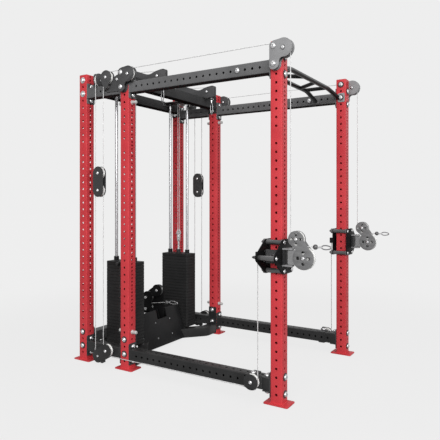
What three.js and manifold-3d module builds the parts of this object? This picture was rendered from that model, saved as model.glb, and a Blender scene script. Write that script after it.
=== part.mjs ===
// A power cage with a cable trolley on each front upright, two weight stacks, two lat stations
// and a low row station. Millimetres, +Z up. The user stands at the front, on the -Y side.
import * as THREE from "three";
import { mergeVertices } from "three/addons/utils/BufferGeometryUtils.js";
import Module from "manifold-3d";

const wasm = await Module();
wasm.setup();

// ---- driving dimensions ----
const tubeSize = 76.2; // 3 in square tube
const tubeWall = 3;
const holePitch = 50.8; // 2 in
const holeRadius = 8;
const firstHoleZ = 60; // height of hole 0 above the floor
const cageHeight = 2133.6;
const cageHalfWidth = 577.85; // cage centre to upright centre
const frontBay = 1181.1; // front to middle uprights, centre to centre
const rearBay = 412.75; // middle to rear uprights
const seatGap = 0.3; // gap between pieces that are bolted face to face
const footThick = 8;
const footWidth = 112;
const footLength = 158;
const endPlateThick = 6;
const endPlateHeight = 150;
const cableRadius = 2.4;
const sheaveLine = 39; // radius of the cable's centre on a small sheave
const sheaveRim = 45;
const sheaveWidth = 20;
const axleRadius = 8;
const axleGap = 0.35; // running gap between an axle and a turning sheave
const cheekThick = 6;
const cablePlane = 20; // from an upright's outer face to the cables that run outside the cage
const trolleyHole = 16; // hole that the trolley's pin stands at
const trolleyUpHoles = 18; // holes that the trolley can rise
const trolleyDownHoles = 11;
const rollerRadius = 15.5;
const rollerGap = 0.4;
const armPitch = 82; // swivel axis to the arm's large sheave
const bigSheaveLine = 60;
const bigSheaveRim = 66;
const barRadius = 16;
const rungRadius = 14;
const plateCount = 24; // plates of one stack
const plateThick = 25.2;
const plateWidth = 130;
const plateLength = 274;
const rodRadius = 12;
const rodSpacing = 185;
const stackBaseZ = 93;
const stackInset = 231.85; // an upright's centre to its stack's centre
const plateClear = 1.65; // between the plates and the rear low crossmember
const pegRadius = 12;

// ---- places worked out from them ----
const half = tubeSize / 2;
const holeZ = (k) => firstHoleZ + holePitch * k;
const topBeamHole = Math.floor((cageHeight - firstHoleZ) / holePitch) - 2;
const topCrossHole = topBeamHole + 1;
const lowBeamHole = 1;
const lowCrossHole = 2;
const topBeamZ = holeZ(topBeamHole);
const lowBeamZ = holeZ(lowBeamHole);
const topCrossZ = holeZ(topCrossHole);
const lowCrossZ = holeZ(lowCrossHole);
const outerFace = cageHalfWidth + half;
const innerFace = cageHalfWidth - half;
const planeX = outerFace + cablePlane;
const frontY = 0;
const midY = frontY + frontBay;
const rearY = midY + rearBay;
const topAxleZ = topBeamZ + half + 46.5; // the top cables clear the beams
const topCableZ = topAxleZ + sheaveLine;
const axleAhead = 61; // top bracket's axle ahead of its upright's centre
const lowAxleZ = 118;
const lowCableZ = lowAxleZ - sheaveLine;
const rearAxleY = midY + 145;
const floatY = rearAxleY + 2 * sheaveLine;
const floatUpperZ = 1392;
const floatLowerZ = 1268;
const dropY = frontY - axleAhead - sheaveLine; // vertical cable in front of the upright
const riseY = frontY + 111; // vertical cable behind it
const stackX = cageHalfWidth - stackInset;
const stackY = rearY - half - plateClear - plateLength / 2;
const stackTopZ = stackBaseZ + plateCount * plateThick;
const latX = stackX - 11;
const liftX = stackX + 11;
const latAxleZ = topAxleZ + 42; // the lat sheaves stand above the middle crossmember
const latAxleY = midY - 80;
const latRearY = stackY - sheaveLine;
const latRearZ = latAxleZ + 19;

const pinZ = holeZ(trolleyHole);
const armUpperZ = pinZ + 106;
const exitZ = armUpperZ - sheaveLine; // height at which the cable leaves the arm
const ballY = dropY - 150;

// ---- solids ----
const X = new THREE.Vector3(1, 0, 0);
const Y = new THREE.Vector3(0, 1, 0);
const Z = new THREE.Vector3(0, 0, 1);

function solid(geometry) {
  geometry.deleteAttribute("normal");
  geometry.deleteAttribute("uv");
  const merged = mergeVertices(geometry, 1e-4);
  return new wasm.Manifold(
    new wasm.Mesh({
      numProp: 3,
      vertProperties: merged.attributes.position.array,
      triVerts: new Uint32Array(merged.index.array),
    }),
  );
}

const join = (...solids) => solids.flat().reduce((a, b) => a.add(b));
const cut = (body, ...tools) => tools.flat().reduce((a, b) => a.subtract(b), body);

// A box between two corners, given in any order.
function block(a, b) {
  const low = a.map((v, i) => Math.min(v, b[i]));
  const high = a.map((v, i) => Math.max(v, b[i]));
  const box = new THREE.BoxGeometry(high[0] - low[0], high[1] - low[1], high[2] - low[2]);
  box.translate((low[0] + high[0]) / 2, (low[1] + high[1]) / 2, (low[2] + high[2]) / 2);
  return solid(box);
}

// A round bar from one point to another.
function rod(radius, from, to, sides = 8) {
  const start = new THREE.Vector3(...from);
  const end = new THREE.Vector3(...to);
  const along = end.clone().sub(start);
  const bar = new THREE.CylinderGeometry(radius, radius, along.length(), sides);
  const turn = new THREE.Quaternion().setFromUnitVectors(Y, along.clone().normalize());
  bar.applyQuaternion(turn);
  const middle = start.add(end).multiplyScalar(0.5);
  bar.translate(middle.x, middle.y, middle.z);
  return solid(bar);
}

// A flat plate: the outline lies across the axis, as (y, z), (x, z) or (x, y) points.
function slab(outline, axis, a, b) {
  const low = Math.min(a, b);
  const high = Math.max(a, b);
  const shape = new THREE.Shape(outline.map(([u, v]) => new THREE.Vector2(u, v)));
  const plate = new THREE.ExtrudeGeometry(shape, { depth: high - low, bevelEnabled: false });
  if (axis === "x") {
    plate.applyMatrix4(new THREE.Matrix4().makeBasis(Y, Z, X));
    plate.translate(low, 0, 0);
  } else if (axis === "y") {
    plate.applyMatrix4(new THREE.Matrix4().makeBasis(X, Z, Y.clone().negate()));
    plate.translate(0, high, 0);
  } else {
    plate.translate(0, 0, low);
  }
  return solid(plate);
}

// Points of an arc round a centre, angles in degrees from the first axis of the plane.
function arc(centre, radius, from, to, count) {
  return Array.from({ length: count + 1 }, (_, i) => {
    const angle = THREE.MathUtils.degToRad(from + ((to - from) * i) / count);
    return [centre[0] + radius * Math.cos(angle), centre[1] + radius * Math.sin(angle)];
  });
}

// A grooved sheave on an axis along X or Y, with a bore if it turns on its axle.
function sheave(centre, axis, line, rim, width, bore = 0, sides = bore ? 16 : 12) {
  const floor = line - cableRadius - 1.4;
  const w = width / 2;
  const profile = [
    [bore, -w],
    [rim, -w],
    [floor, -2.8],
    [floor, 2.8],
    [rim, w],
    [bore, w],
  ];
  if (bore) profile.push(profile[0]);
  const points = profile.map(([r, h]) => new THREE.Vector2(r, h));
  const wheel = new THREE.LatheGeometry(points, sides);
  if (axis === "x") wheel.rotateZ(-Math.PI / 2);
  wheel.translate(...centre);
  return solid(wheel);
}

// A cord's centreline: a list of points, one step apart.
class Route extends THREE.Curve {
  constructor(points) {
    super();
    this.points = points.map((p) => new THREE.Vector3(...p));
  }
  getPoint(t, target = new THREE.Vector3()) {
    const place = t * (this.points.length - 1);
    const i = Math.min(Math.floor(place), this.points.length - 2);
    return target.lerpVectors(this.points[i], this.points[i + 1], place - i);
  }
  getPointAt(t, target) {
    return this.getPoint(t, target);
  }
  getTangentAt(t, target = new THREE.Vector3()) {
    const last = this.points.length - 1;
    const i = Math.round(t * last);
    const ahead = this.points[Math.min(i + 1, last)];
    const behind = this.points[Math.max(i - 1, 0)];
    return target.copy(ahead).sub(behind).normalize();
  }
}

// A round tube along a route.
function tube(points, radius, sides = 8) {
  const ring = Array.from({ length: sides }, (_, i) => {
    const angle = ((i + 0.5) / sides) * 2 * Math.PI;
    return new THREE.Vector2(radius * Math.cos(angle), radius * Math.sin(angle));
  });
  const path = new Route(points);
  const options = { steps: points.length - 1, bevelEnabled: false, extrudePath: path };
  return solid(new THREE.ExtrudeGeometry(new THREE.Shape(ring), options));
}

// ---- materials and naming ----
const paint = (color, roughness, metalness) =>
  new THREE.MeshStandardMaterial({ color, roughness, metalness });
const red = paint(0xc23a42, 0.45, 0.1);
const black = paint(0x26272a, 0.5, 0.2);
const grey = paint(0x6e7073, 0.45, 0.3);
const chrome = paint(0xd8dadc, 0.15, 1);
const nylon = paint(0xe4e4e2, 0.5, 0);
const steel = paint(0xb9bcbf, 0.3, 0.9);

const cage = new THREE.Group();

function add(name, body, material) {
  const data = body.getMesh();
  const geometry = new THREE.BufferGeometry();
  geometry.setAttribute("position", new THREE.BufferAttribute(data.vertProperties, 3));
  geometry.setIndex(new THREE.BufferAttribute(data.triVerts, 1));
  geometry.computeVertexNormals();
  const mesh = new THREE.Mesh(geometry, material);
  mesh.name = name;
  cage.add(mesh);
}

const sides = [
  ["left", -1],
  ["right", 1],
];

// ---- frame ----
// A square tube along one axis; centre holds the other two coordinates in order.
function squareTube(axis, from, to, centre, size = tubeSize) {
  const place = (at, offset) => {
    const p = centre.map((c) => c + offset);
    p.splice("xyz".indexOf(axis), 0, at);
    return p;
  };
  const outside = block(place(from, -size / 2), place(to, size / 2));
  const inside = size / 2 - tubeWall;
  return cut(outside, block(place(from - 1, -inside), place(to + 1, inside)));
}

function upright(y, s, pinHoles, pegHoles) {
  const x = s * cageHalfWidth;
  const a = footWidth / 2;
  const b = footLength / 2;
  const c = 10; // corner cut of the foot plate
  const corners = [
    [a, b - c],
    [a - c, b],
    [c - a, b],
    [-a, b - c],
    [-a, c - b],
    [c - a, -b],
    [a - c, -b],
    [a, c - b],
  ];
  const foot = slab(corners.map(([u, v]) => [x + u, y + v]), "z", 0, footThick);
  const post = squareTube("z", footThick - 1, cageHeight, [x, y]);
  const holes = pinHoles.map((k) =>
    rod(holeRadius, [x + s * half * 0.5, y, holeZ(k)], [x + s * (half + 5), y, holeZ(k)], 12),
  );
  const pegEnd = half + 42;
  const pegs = pegHoles.map((k) => rod(pegRadius, [x, y - pegEnd, holeZ(k)], [x, y + pegEnd, holeZ(k)]));
  return cut(join(foot, post, pegs), holes);
}

// A tube beam with a bolted plate at each end. The plates reach to the two uprights' faces.
function beam(axis, from, to, centre, plateCentreZ) {
  const z = centre[1];
  const side = centre[0];
  const start = from + seatGap;
  const end = to - seatGap;
  const body = squareTube(axis, start, end, centre);
  const plate = (a, b) => {
    const low = [a, side - half];
    const high = [b, side + half];
    if (axis === "y") {
      low.reverse();
      high.reverse();
    }
    return block([...low, plateCentreZ - endPlateHeight / 2], [...high, plateCentreZ + endPlateHeight / 2]);
  };
  const ends = [plate(start, start + endPlateThick), plate(end - endPlateThick, end)];
  const mid = (from + to) / 2;
  const across = (offset) => (axis === "y" ? [side + offset, mid, z] : [mid, side + offset, z]);
  return cut(join(body, ends), rod(holeRadius, across(-half - 1), across(half + 1)));
}

const uprightRows = [
  ["front", frontY, [trolleyHole - trolleyDownHoles, trolleyHole, trolleyHole + trolleyUpHoles], []],
  ["mid", midY, [], [4, topBeamHole - 2]],
  ["rear", rearY, [], []],
];
for (const [label, s] of sides) {
  for (const [row, y, pins, pegs] of uprightRows) {
    add(`${row}_upright_${label}`, upright(y, s, pins, pegs), red);
  }
}

const bay = (from, to, s, z) => beam("y", from + half, to - half, [s * cageHalfWidth, z], z);
const cross = (y, z) => beam("x", -innerFace, innerFace, [y, z], z);

// ---- brackets that carry the sheaves ----
// Two cheeks round the cable plane, outline in (y, z), first reaching in to the face it is bolted on.
function cheeks(outline, s, near, far, thick = cheekThick) {
  return [slab(outline, "x", s * near, s * (near + thick)), slab(outline, "x", s * far, s * (far + thick))];
}
const cheekNear = outerFace + seatGap;
const cheekFar = planeX + (planeX - cheekNear - cheekThick);
const across = (s, radius, y, z, from = cheekNear + 1, to = cheekFar + cheekThick + 3) =>
  rod(radius, [s * from, y, z], [s * to, y, z]);

// Bracket on top of an upright, its axle ahead of the upright's centre.
const topLobe = 56;
const topFoot = 34;
const topRear = 26;
function topBracket(y, s) {
  const axleY = y - axleAhead;
  const foot = [y, holeZ(topBeamHole)];
  const outline = [
    [y + topRear, foot[1] - 22],
    [y + topRear, topAxleZ + 37],
    ...arc([axleY, topAxleZ], topLobe, 68, 258, 9),
    [axleY + 12, topAxleZ - topLobe + 3],
    [y - topFoot, foot[1] + 14],
    ...arc(foot, topFoot, 180, 300, 5),
  ];
  const spacers = [topBeamHole, topBeamHole + 2].map((k) => across(s, 13, y, holeZ(k)));
  return join(cheeks(outline, s, cheekNear, cheekFar), spacers, across(s, axleRadius, axleY, topAxleZ));
}

// Sheave on the rear top beam for the cable that comes along the top, and the diverter that
// turns the cable inwards over the beam.
const diverterX = planeX - sheaveLine;
const diverterY = floatY + sheaveLine;
const slimWidth = 14;
function rearTopBracket(s) {
  const outline = [
    ...arc([rearAxleY, topAxleZ], 50, 20, 200, 8),
    [rearAxleY - 34, topBeamZ - 10],
    [rearAxleY + 34, topBeamZ - 10],
  ];
  const near = outerFace - 0.5;
  const forward = midY + half + 1.5;
  const backing = [
    [forward, topBeamZ - 18],
    [forward, topAxleZ + 19],
    [forward + 26, topAxleZ + 14],
    [rearAxleY - 20, topAxleZ - 12],
    [rearAxleY, topBeamZ - 18],
  ];
  const wheel = sheave([s * planeX, rearAxleY, topAxleZ], "x", sheaveLine, sheaveRim, sheaveWidth);
  const topFace = topBeamZ + half - 1;
  const plateOutline = [
    [s * (diverterX - 45), topFace],
    [s * outerFace, topFace],
    [s * (diverterX + 47), topAxleZ - 20],
    [s * (diverterX + 47), topAxleZ + 20],
    [s * (diverterX + 20), topAxleZ + 48],
    [s * (diverterX - 20), topAxleZ + 48],
    [s * (diverterX - 45), topAxleZ + 25],
  ];
  const turn = [-1, 1].map((side) => {
    const y = diverterY + side * (slimWidth / 2 + 3);
    return slab(plateOutline, "y", y, y + side * 5);
  });
  const diverter = sheave([s * diverterX, diverterY, topAxleZ], "y", sheaveLine, sheaveRim, slimWidth);
  const pinEnd = (side) => [s * diverterX, diverterY + side * 16, topAxleZ];
  const pin = rod(axleRadius, pinEnd(-1), pinEnd(1));
  return [
    ...cheeks(outline, s, near, cheekFar),
    slab(backing, "x", s * near, s * (near + 8)),
    across(s, axleRadius, rearAxleY, topAxleZ, near + 1),
    across(s, 12, rearAxleY, topBeamZ, near + 1),
    wheel,
    ...turn,
    diverter,
    pin,
  ];
}

// Two sheaves low on the rear bay: one turns the cable forward, the other holds the dead end.
const deadY = floatY;
const deadZ = lowAxleZ - 48;
function lowRearBracket(s) {
  const outline = [
    [rearAxleY - 48, lowAxleZ - 20],
    [rearAxleY - 48, lowAxleZ + 20],
    [rearAxleY - 20, lowAxleZ + 48],
    [rearAxleY + 30, lowAxleZ + 48],
    [deadY + 46, deadZ + 26],
    [deadY + 46, deadZ - 24],
    [deadY + 20, deadZ - 47],
    [deadY - 30, deadZ - 47],
  ];
  const near = outerFace - 0.5;
  const anchorZ = deadZ - sheaveLine;
  const anchor = block([s * (near + 1), deadY - 42, anchorZ - 8], [s * (cheekFar + 1), deadY - 24, anchorZ + 8]);
  return [
    ...cheeks(outline, s, near, cheekFar),
    ...[[rearAxleY, lowAxleZ], [deadY, deadZ]].flatMap(([y, z]) => [
      across(s, axleRadius, y, z, near + 1),
      sheave([s * planeX, y, z], "x", sheaveLine, sheaveRim, sheaveWidth),
    ]),
    anchor,
  ];
}

// Two saddles round the front low beam and the cheeks of the low front sheave.
const lowFrontY = riseY + sheaveLine;
const saddleLength = 48;
const saddleThick = 6;
function lowFrontBracket(s) {
  const rear = lowFrontY + 46;
  const wheelCheek = [
    ...arc([lowFrontY, lowAxleZ], 47, 90, 300, 10),
    [rear - 14, lowAxleZ - 36],
    [rear, lowAxleZ - 22],
    [rear, lowAxleZ + 36],
    [rear - 8, lowAxleZ + 46],
  ];
  const backCheek = [
    [lowFrontY - 60, lowBeamZ - half + 8],
    [lowFrontY - 60, lowBeamZ + half - 4],
    [rear + 10, lowBeamZ + half - 4],
    [rear + 10, lowBeamZ - half + 8],
  ];
  const near = outerFace - 0.5;
  const far = cheekFar + cheekThick;
  const saddles = [lowFrontY + 10, lowFrontY - 84].flatMap((y) =>
    [-1, 1].map((up) =>
      block(
        [s * innerFace, y - saddleLength / 2, lowBeamZ + up * (half - 0.5)],
        [s * (outerFace + 5), y + saddleLength / 2, lowBeamZ + up * (half + saddleThick)],
      ),
    ),
  );
  return [
    slab(backCheek, "x", s * near, s * (near + cheekThick)),
    slab(wheelCheek, "x", s * cheekFar, s * far),
    ...saddles,
    across(s, axleRadius, lowFrontY, lowAxleZ, near + 1),
    across(s, 6, rear - 8, lowAxleZ + 35, near + 1, far - 1),
  ];
}

const looseSheave = (centre) => sheave(centre, "x", sheaveLine, sheaveRim, sheaveWidth, axleRadius + axleGap);
for (const [label, s] of sides) {
  add(`front_top_beam_${label}`, bay(frontY, midY, s, topBeamZ), black);
  add(`front_low_beam_${label}`, join(bay(frontY, midY, s, lowBeamZ), lowFrontBracket(s)), black);
  add(`rear_top_beam_${label}`, join(bay(midY, rearY, s, topBeamZ), rearTopBracket(s)), black);
  add(`rear_low_beam_${label}`, join(bay(midY, rearY, s, lowBeamZ), lowRearBracket(s)), black);
  for (const [row, y] of [["front", frontY], ["mid", midY]]) {
    add(`${row}_top_bracket_${label}`, topBracket(y, s), grey);
    const centre = [s * planeX, y - axleAhead, topAxleZ];
    add(`${row}_top_sheave_${label}`, looseSheave(centre), nylon);
  }
  const lowCentre = [s * planeX, lowFrontY, lowAxleZ];
  add(`low_front_sheave_${label}`, looseSheave(lowCentre), nylon);
}
add("rear_top_crossmember", cross(rearY, topCrossZ), black);
add("rear_low_crossmember", cross(rearY, lowCrossZ), black);
add("mid_top_crossmember", cross(midY, topCrossZ), black);

// ---- bent low crossmember with the foot panel and the low row housing ----
// Outline of a strip of even width along a bent centreline, mitred at the bends.
function mitred(points, offset) {
  const line = points.map((p) => new THREE.Vector2(...p));
  const edge = (sign) =>
    line.map((p, i) => {
      const before = line[Math.max(i - 1, 0)];
      const after = line[Math.min(i + 1, line.length - 1)];
      const a = (i ? p.clone().sub(before) : after.clone().sub(p)).normalize();
      const b = (i < line.length - 1 ? after.clone().sub(p) : p.clone().sub(before)).normalize();
      const normal = new THREE.Vector2(-a.y - b.y, a.x + b.x).normalize();
      const stretch = offset / Math.sqrt((1 + a.dot(b)) / 2);
      return [p.x + sign * normal.x * stretch, p.y + sign * normal.y * stretch];
    });
  return [...edge(-1), ...edge(1).reverse()];
}

const lowTubeBase = 10;
const lowTubeTop = lowTubeBase + tubeSize;
const bowY = midY + 154; // centreline of the crossmember's middle stretch
const bend = (s) => [
  [s * (innerFace - seatGap), midY],
  [s * 415, midY],
  [s * 240, bowY],
];
const bowLine = [...bend(-1), ...bend(1).reverse()];
const rowY = stackY + 55;
const rowUpperZ = 386;
const rowLowerZ = 292;
const rowGuide = [rowY - 100, 450];
const nipZ = rowLowerZ + sheaveLine;
const rowRise = 8; // degrees that the row cable climbs towards the user

function lowCrossmember() {
  const inner = [[-innerFace + 20, midY], ...bowLine.slice(1, -1), [innerFace - 20, midY]];
  const body = cut(
    slab(mitred(bowLine, half), "z", lowTubeBase, lowTubeTop),
    slab(mitred(inner, half - tubeWall), "z", lowTubeBase + tubeWall, lowTubeTop - tubeWall),
    rod(holeRadius, [0, bowY, lowTubeBase - 1], [0, bowY, lowTubeBase + 10]),
  );
  const plates = [-1, 1].map((s) =>
    block(
      [s * (innerFace - seatGap), midY - half, lowCrossZ - endPlateHeight / 2 - 20],
      [s * (innerFace - seatGap - endPlateThick), midY + half, lowCrossZ + endPlateHeight / 2],
    ),
  );
  return join(body, plates, footPanel(), rowHousing());
}

// Slanted panel for the feet, notched for the row cable, on two gussets.
const panelLow = 16;
const panelHigh = 298;
const panelLean = 0.24;
const panelFoot = bowY - half - 22;
function footPanel() {
  const lean = (z) => panelFoot + panelLean * z;
  const side = [
    [lean(panelLow), panelLow],
    [lean(panelHigh), panelHigh],
    [lean(panelHigh) + 5, panelHigh],
    [lean(panelLow) + 5, panelLow],
  ];
  const face = [
    [-256, panelLow],
    [256, panelLow],
    [240, panelHigh],
    [60, panelHigh],
    [60, 224],
    [-60, 224],
    [-60, panelHigh],
    [-240, panelHigh],
  ];
  const sheet = slab(side, "x", -260, 260);
  const panel = sheet.intersect(slab(face, "y", panelFoot - 10, panelFoot + 140));
  const gusset = [
    [lean(lowTubeTop) + 3, lowTubeTop - 1],
    [lean(panelHigh - 30) + 3, panelHigh - 30],
    [bowY + 20, lowTubeTop - 1],
  ];
  return [panel, ...[-180, 180].map((x) => slab(gusset, "x", x - 3, x + 3))];
}

function rowHousing() {
  const outline = [
    [bowY - 30, lowTubeTop - 2],
    [bowY + half - 2, lowTubeTop - 2],
    [rowY - 60, 215],
    [rowY + 30, rowLowerZ - 44],
    [rowY + 50, rowLowerZ],
    [rowY + 50, rowUpperZ],
    [rowY + 20, rowUpperZ + 46],
    [rowGuide[0] + 20, rowGuide[1] + 47],
    [rowGuide[0] - 30, rowGuide[1] + 40],
    [rowGuide[0] - 49, rowGuide[1]],
    [rowGuide[0] - 20, rowGuide[1] - 50],
    [rowGuide[0], nipZ],
    [rowGuide[0] - 30, 215],
  ];
  const axles = [[rowY, rowUpperZ], [rowY, rowLowerZ], rowGuide];
  const clampZ = 215;
  return [
    slab(outline, "x", -20, -14),
    slab(outline, "x", 14, 20),
    ...axles.flatMap(([y, z]) => [
      rod(axleRadius, [-24, y, z], [24, y, z]),
      sheave([0, y, z], "x", sheaveLine, sheaveRim, sheaveWidth),
    ]),
    rod(6, [-24, rowY - 56, clampZ + 6], [24, rowY - 56, clampZ + 6]),
    block([-15, rowY + sheaveLine - 8, rowLowerZ - 44], [15, rowY + sheaveLine + 8, rowLowerZ - 28]),
  ];
}
add("mid_low_crossmember", lowCrossmember(), black);

// ---- pull-up bar ----
const gripY = frontY + 35;
const gripRearY = frontY + 205;
const gripZ = topBeamZ + 39.6;
function pullUpBar() {
  const gripBend = 330;
  const ends = {
    front: [innerFace - 2, frontY + 20, topBeamZ],
    rear: [innerFace - 2, gripRearY, topBeamZ - 10],
  };
  const rail = (end, y) => {
    const halfLine = (s) => [
      [s * end[0], end[1], end[2]],
      [s * (gripBend + 40), y, gripZ - 12],
      [s * (gripBend - 10), y, gripZ],
    ];
    return tube([...halfLine(-1), ...halfLine(1).reverse()], barRadius, 10);
  };
  const rungs = [
    [gripBend - 14, gripBend - 14],
    [98, 226],
  ].flatMap(([a, b]) =>
    [-1, 1].map((s) => rod(rungRadius, [s * a, gripY, gripZ], [s * b, gripRearY, gripZ], 10)),
  );
  const flange = (s, y, z, length, height) =>
    block(
      [s * (innerFace - seatGap), y - length / 2, z - height / 2],
      [s * (innerFace - endPlateThick), y + length / 2, z + height / 2],
    );
  const plates = [-1, 1].flatMap((s) => [
    flange(s, frontY, topBeamZ, tubeSize - 4, 90),
    flange(s, gripRearY, topBeamZ, 76, 70),
  ]);
  const rails = join(rail(ends.front, gripY), rail(ends.rear, gripRearY));
  const reach = innerFace - seatGap;
  const between = block([-reach, frontY - 100, topBeamZ - 200], [reach, gripRearY + 100, topBeamZ + 200]);
  return join(rails.intersect(between), rungs, plates);
}
add("pull_up_bar", pullUpBar(), black);

// ---- lat stations over the middle crossmember, with the ties of the guide rods ----
const strapZ = topCrossZ + 19;
const strapThick = 6;
function latBracket(s) {
  const floor = topCrossZ + half + seatGap;
  const behind = midY + half + seatGap;
  const outline = [
    [latAxleY - 76, latAxleZ - 46],
    ...arc([latAxleY, latAxleZ], 56, 250, 300, 3),
    [midY - half, floor],
    [behind, floor],
    [behind, strapZ],
    [latRearY + 62, strapZ],
    [latRearY + 62, latRearZ + 34],
    [latRearY + 40, latRearZ + 52],
    [latRearY - 54, latRearZ + 50],
    [midY, latAxleZ + 17],
    [latAxleY + 16, latAxleZ + 40],
    [latAxleY - 50, latAxleZ + 49],
    [latAxleY - 76, latAxleZ + 42],
  ];
  const plates = [-1, 1].map((side) => {
    const at = latX + side * (slimWidth / 2 + 2);
    return slab(outline, "x", s * at, s * (at + side * cheekThick));
  });
  const reach = slimWidth / 2 + cheekThick + 5;
  const wheels = [[latAxleY, latAxleZ], [latRearY, latRearZ]].flatMap(([y, z]) => [
    rod(axleRadius, [s * (latX - reach), y, z], [s * (latX + reach), y, z]),
    sheave([s * latX, y, z], "x", sheaveLine, sheaveRim, slimWidth),
  ]);
  const front = behind;
  const back = rearY - half - seatGap;
  const strap = block([s * (stackX - 46), front, strapZ], [s * (stackX + 46), back, strapZ + strapThick]);
  const lugs = [[front, front + 5], [back - 5, back]].map(([a, b]) =>
    block([s * (stackX - 46), a, strapZ - 20], [s * (stackX + 46), b, strapZ + 1]),
  );
  const turnX = liftX + sheaveLine;
  const turnCheeks = [-1, 1].map((side) => {
    const y = stackY + side * (slimWidth / 2 + 3);
    return block([s * (liftX + 6), y, strapZ + 2], [s * (turnX + 30), y + side * 5, topAxleZ + 30]);
  });
  const turnWheel = sheave([s * turnX, stackY, topAxleZ], "y", sheaveLine, sheaveRim, slimWidth);
  const turnPin = rod(axleRadius, [s * turnX, stackY - 16, topAxleZ], [s * turnX, stackY + 16, topAxleZ]);
  const slot = block(
    [s * (latX - 12), stackY - 9, strapZ - 1],
    [s * (turnX + 36), stackY + 9, strapZ + strapThick + 1],
  );
  return join(plates, wheels, lugs, cut(strap, slot), turnCheeks, turnWheel, turnPin);
}

// ---- weight stacks ----
const liftTopZ = stackTopZ + 26;
const rodTopZ = strapZ - seatGap;
const rodY = [stackY - rodSpacing / 2, stackY + rodSpacing / 2];
const stemRadius = 14;
const yokeTop = liftTopZ + 196;

function guideRods(s) {
  const base = block(
    [s * (stackX - 68), bowY - 30, lowTubeTop + seatGap],
    [s * (stackX + 68), rearY + 20, stackBaseZ - seatGap],
  );
  const post = block(
    [s * (stackX - 60), rearY - 20, stackBaseZ - 2],
    [s * (stackX + 60), rearY + 20, lowCrossZ - half - seatGap],
  );
  const rods = rodY.map((y) => rod(rodRadius, [s * stackX, y, stackBaseZ - 2], [s * stackX, y, rodTopZ]));
  return join(base, post, rods);
}

function stackPlate(s, low, high) {
  const width = plateWidth / 2;
  const length = plateLength / 2;
  return cut(
    block([s * stackX - width, stackY - length, low], [s * stackX + width, stackY + length, high]),
    rodY.map((y) => rod(rodRadius + 0.8, [s * stackX, y, low - 1], [s * stackX, y, high + 1])),
  );
}

function lowerPlates(s) {
  const boreEnd = (z) => [s * stackX, stackY, z];
  const bore = rod(stemRadius + 0.8, boreEnd(stackBaseZ - 1), boreEnd(stackTopZ + 1));
  return cut(stackPlate(s, stackBaseZ, stackTopZ), bore);
}

const pinRadius = 5;
function headPlate(s) {
  const low = stackTopZ + seatGap;
  const x = s * stackX;
  const collars = rodY.map((y) =>
    cut(
      rod(rodRadius + 6, [x, y, liftTopZ - 1], [x, y, liftTopZ + 34]),
      rod(rodRadius + 0.8, [x, y, low], [x, y, liftTopZ + 40]),
    ),
  );
  const stem = rod(stemRadius, [x, stackY, stackBaseZ + 30], [x, stackY, low + 2]);
  const yoke = rod(8, [x, stackY, liftTopZ - 1], [x, stackY, yokeTop - 60]);
  const sleeve = rod(18, [x, stackY, liftTopZ - 1], [x, stackY, liftTopZ + 34]);
  const body = rod(14, [x, stackY, yokeTop - 92], [x, stackY, yokeTop - 12]);
  const bridge = block([x - 22, stackY - 9, yokeTop - 30], [x + 22, stackY + 9, yokeTop]);
  const boreEnd = (across) => [s * (stackX + across), stackY, low + 13];
  const pinBore = rod(pinRadius + 0.4, boreEnd(20), boreEnd(plateWidth));
  return cut(join(stackPlate(s, low, liftTopZ), collars, stem, yoke, sleeve, body, bridge), pinBore);
}

function selectorPin(s) {
  const z = stackTopZ + seatGap + 13;
  const face = stackX + plateWidth / 2;
  return join(
    rod(pinRadius, [s * (stackX + 22), stackY, z], [s * (face + 8), stackY, z]),
    rod(12, [s * (face + 1), stackY, z], [s * (face + 24), stackY, z]),
  );
}

for (const [label, s] of sides) {
  add(`lat_bracket_${label}`, latBracket(s), black);
  add(`guide_rods_${label}`, guideRods(s), chrome);
  add(`weight_plates_${label}`, lowerPlates(s), black);
  add(`head_plate_${label}`, headPlate(s), black);
  add(`selector_pin_${label}`, selectorPin(s), steel);
}

// ---- floating block ----
function floatBlock(s) {
  const outline = [
    ...arc([floatY, floatUpperZ], 48.5, 0, 180, 8),
    ...arc([floatY, floatLowerZ], 48.5, 180, 360, 8),
  ];
  const near = planeX - sheaveWidth / 2 - 7;
  const far = planeX + sheaveWidth / 2 + 2;
  const wheels = [floatUpperZ, floatLowerZ].flatMap((z) => [
    rod(axleRadius, [s * (near - 2), floatY, z], [s * (far + 9), floatY, z]),
    sheave([s * planeX, floatY, z], "x", sheaveLine, sheaveRim, sheaveWidth),
  ]);
  return join(cheeks(outline, s, near, far, 5), wheels);
}

// ---- trolley ----
const rollerOut = half + rollerGap + rollerRadius;
const rollerUp = 83;
const collarRadius = rollerRadius + 3;
const plateFront = half + 13; // upright's centre to the trolley's front plate
const plateRear = half + 14; // and to its rear plate
const bossEnd = plateRear + 22; // and to the ends of the bosses behind that plate
const barHalf = 40; // half the height of the bar that carries the locking pin
const gripX = cageHalfWidth + 160;
const earHalf = 24;
const earThick = 8;
const earTop = [pinZ + 44, pinZ + 44 + earThick];
const earLow = [pinZ - 51, pinZ - 51 + earThick];
const pinBoss = outerFace + 24;
const bossLength = 18;
const pinTravel = 14;

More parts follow.
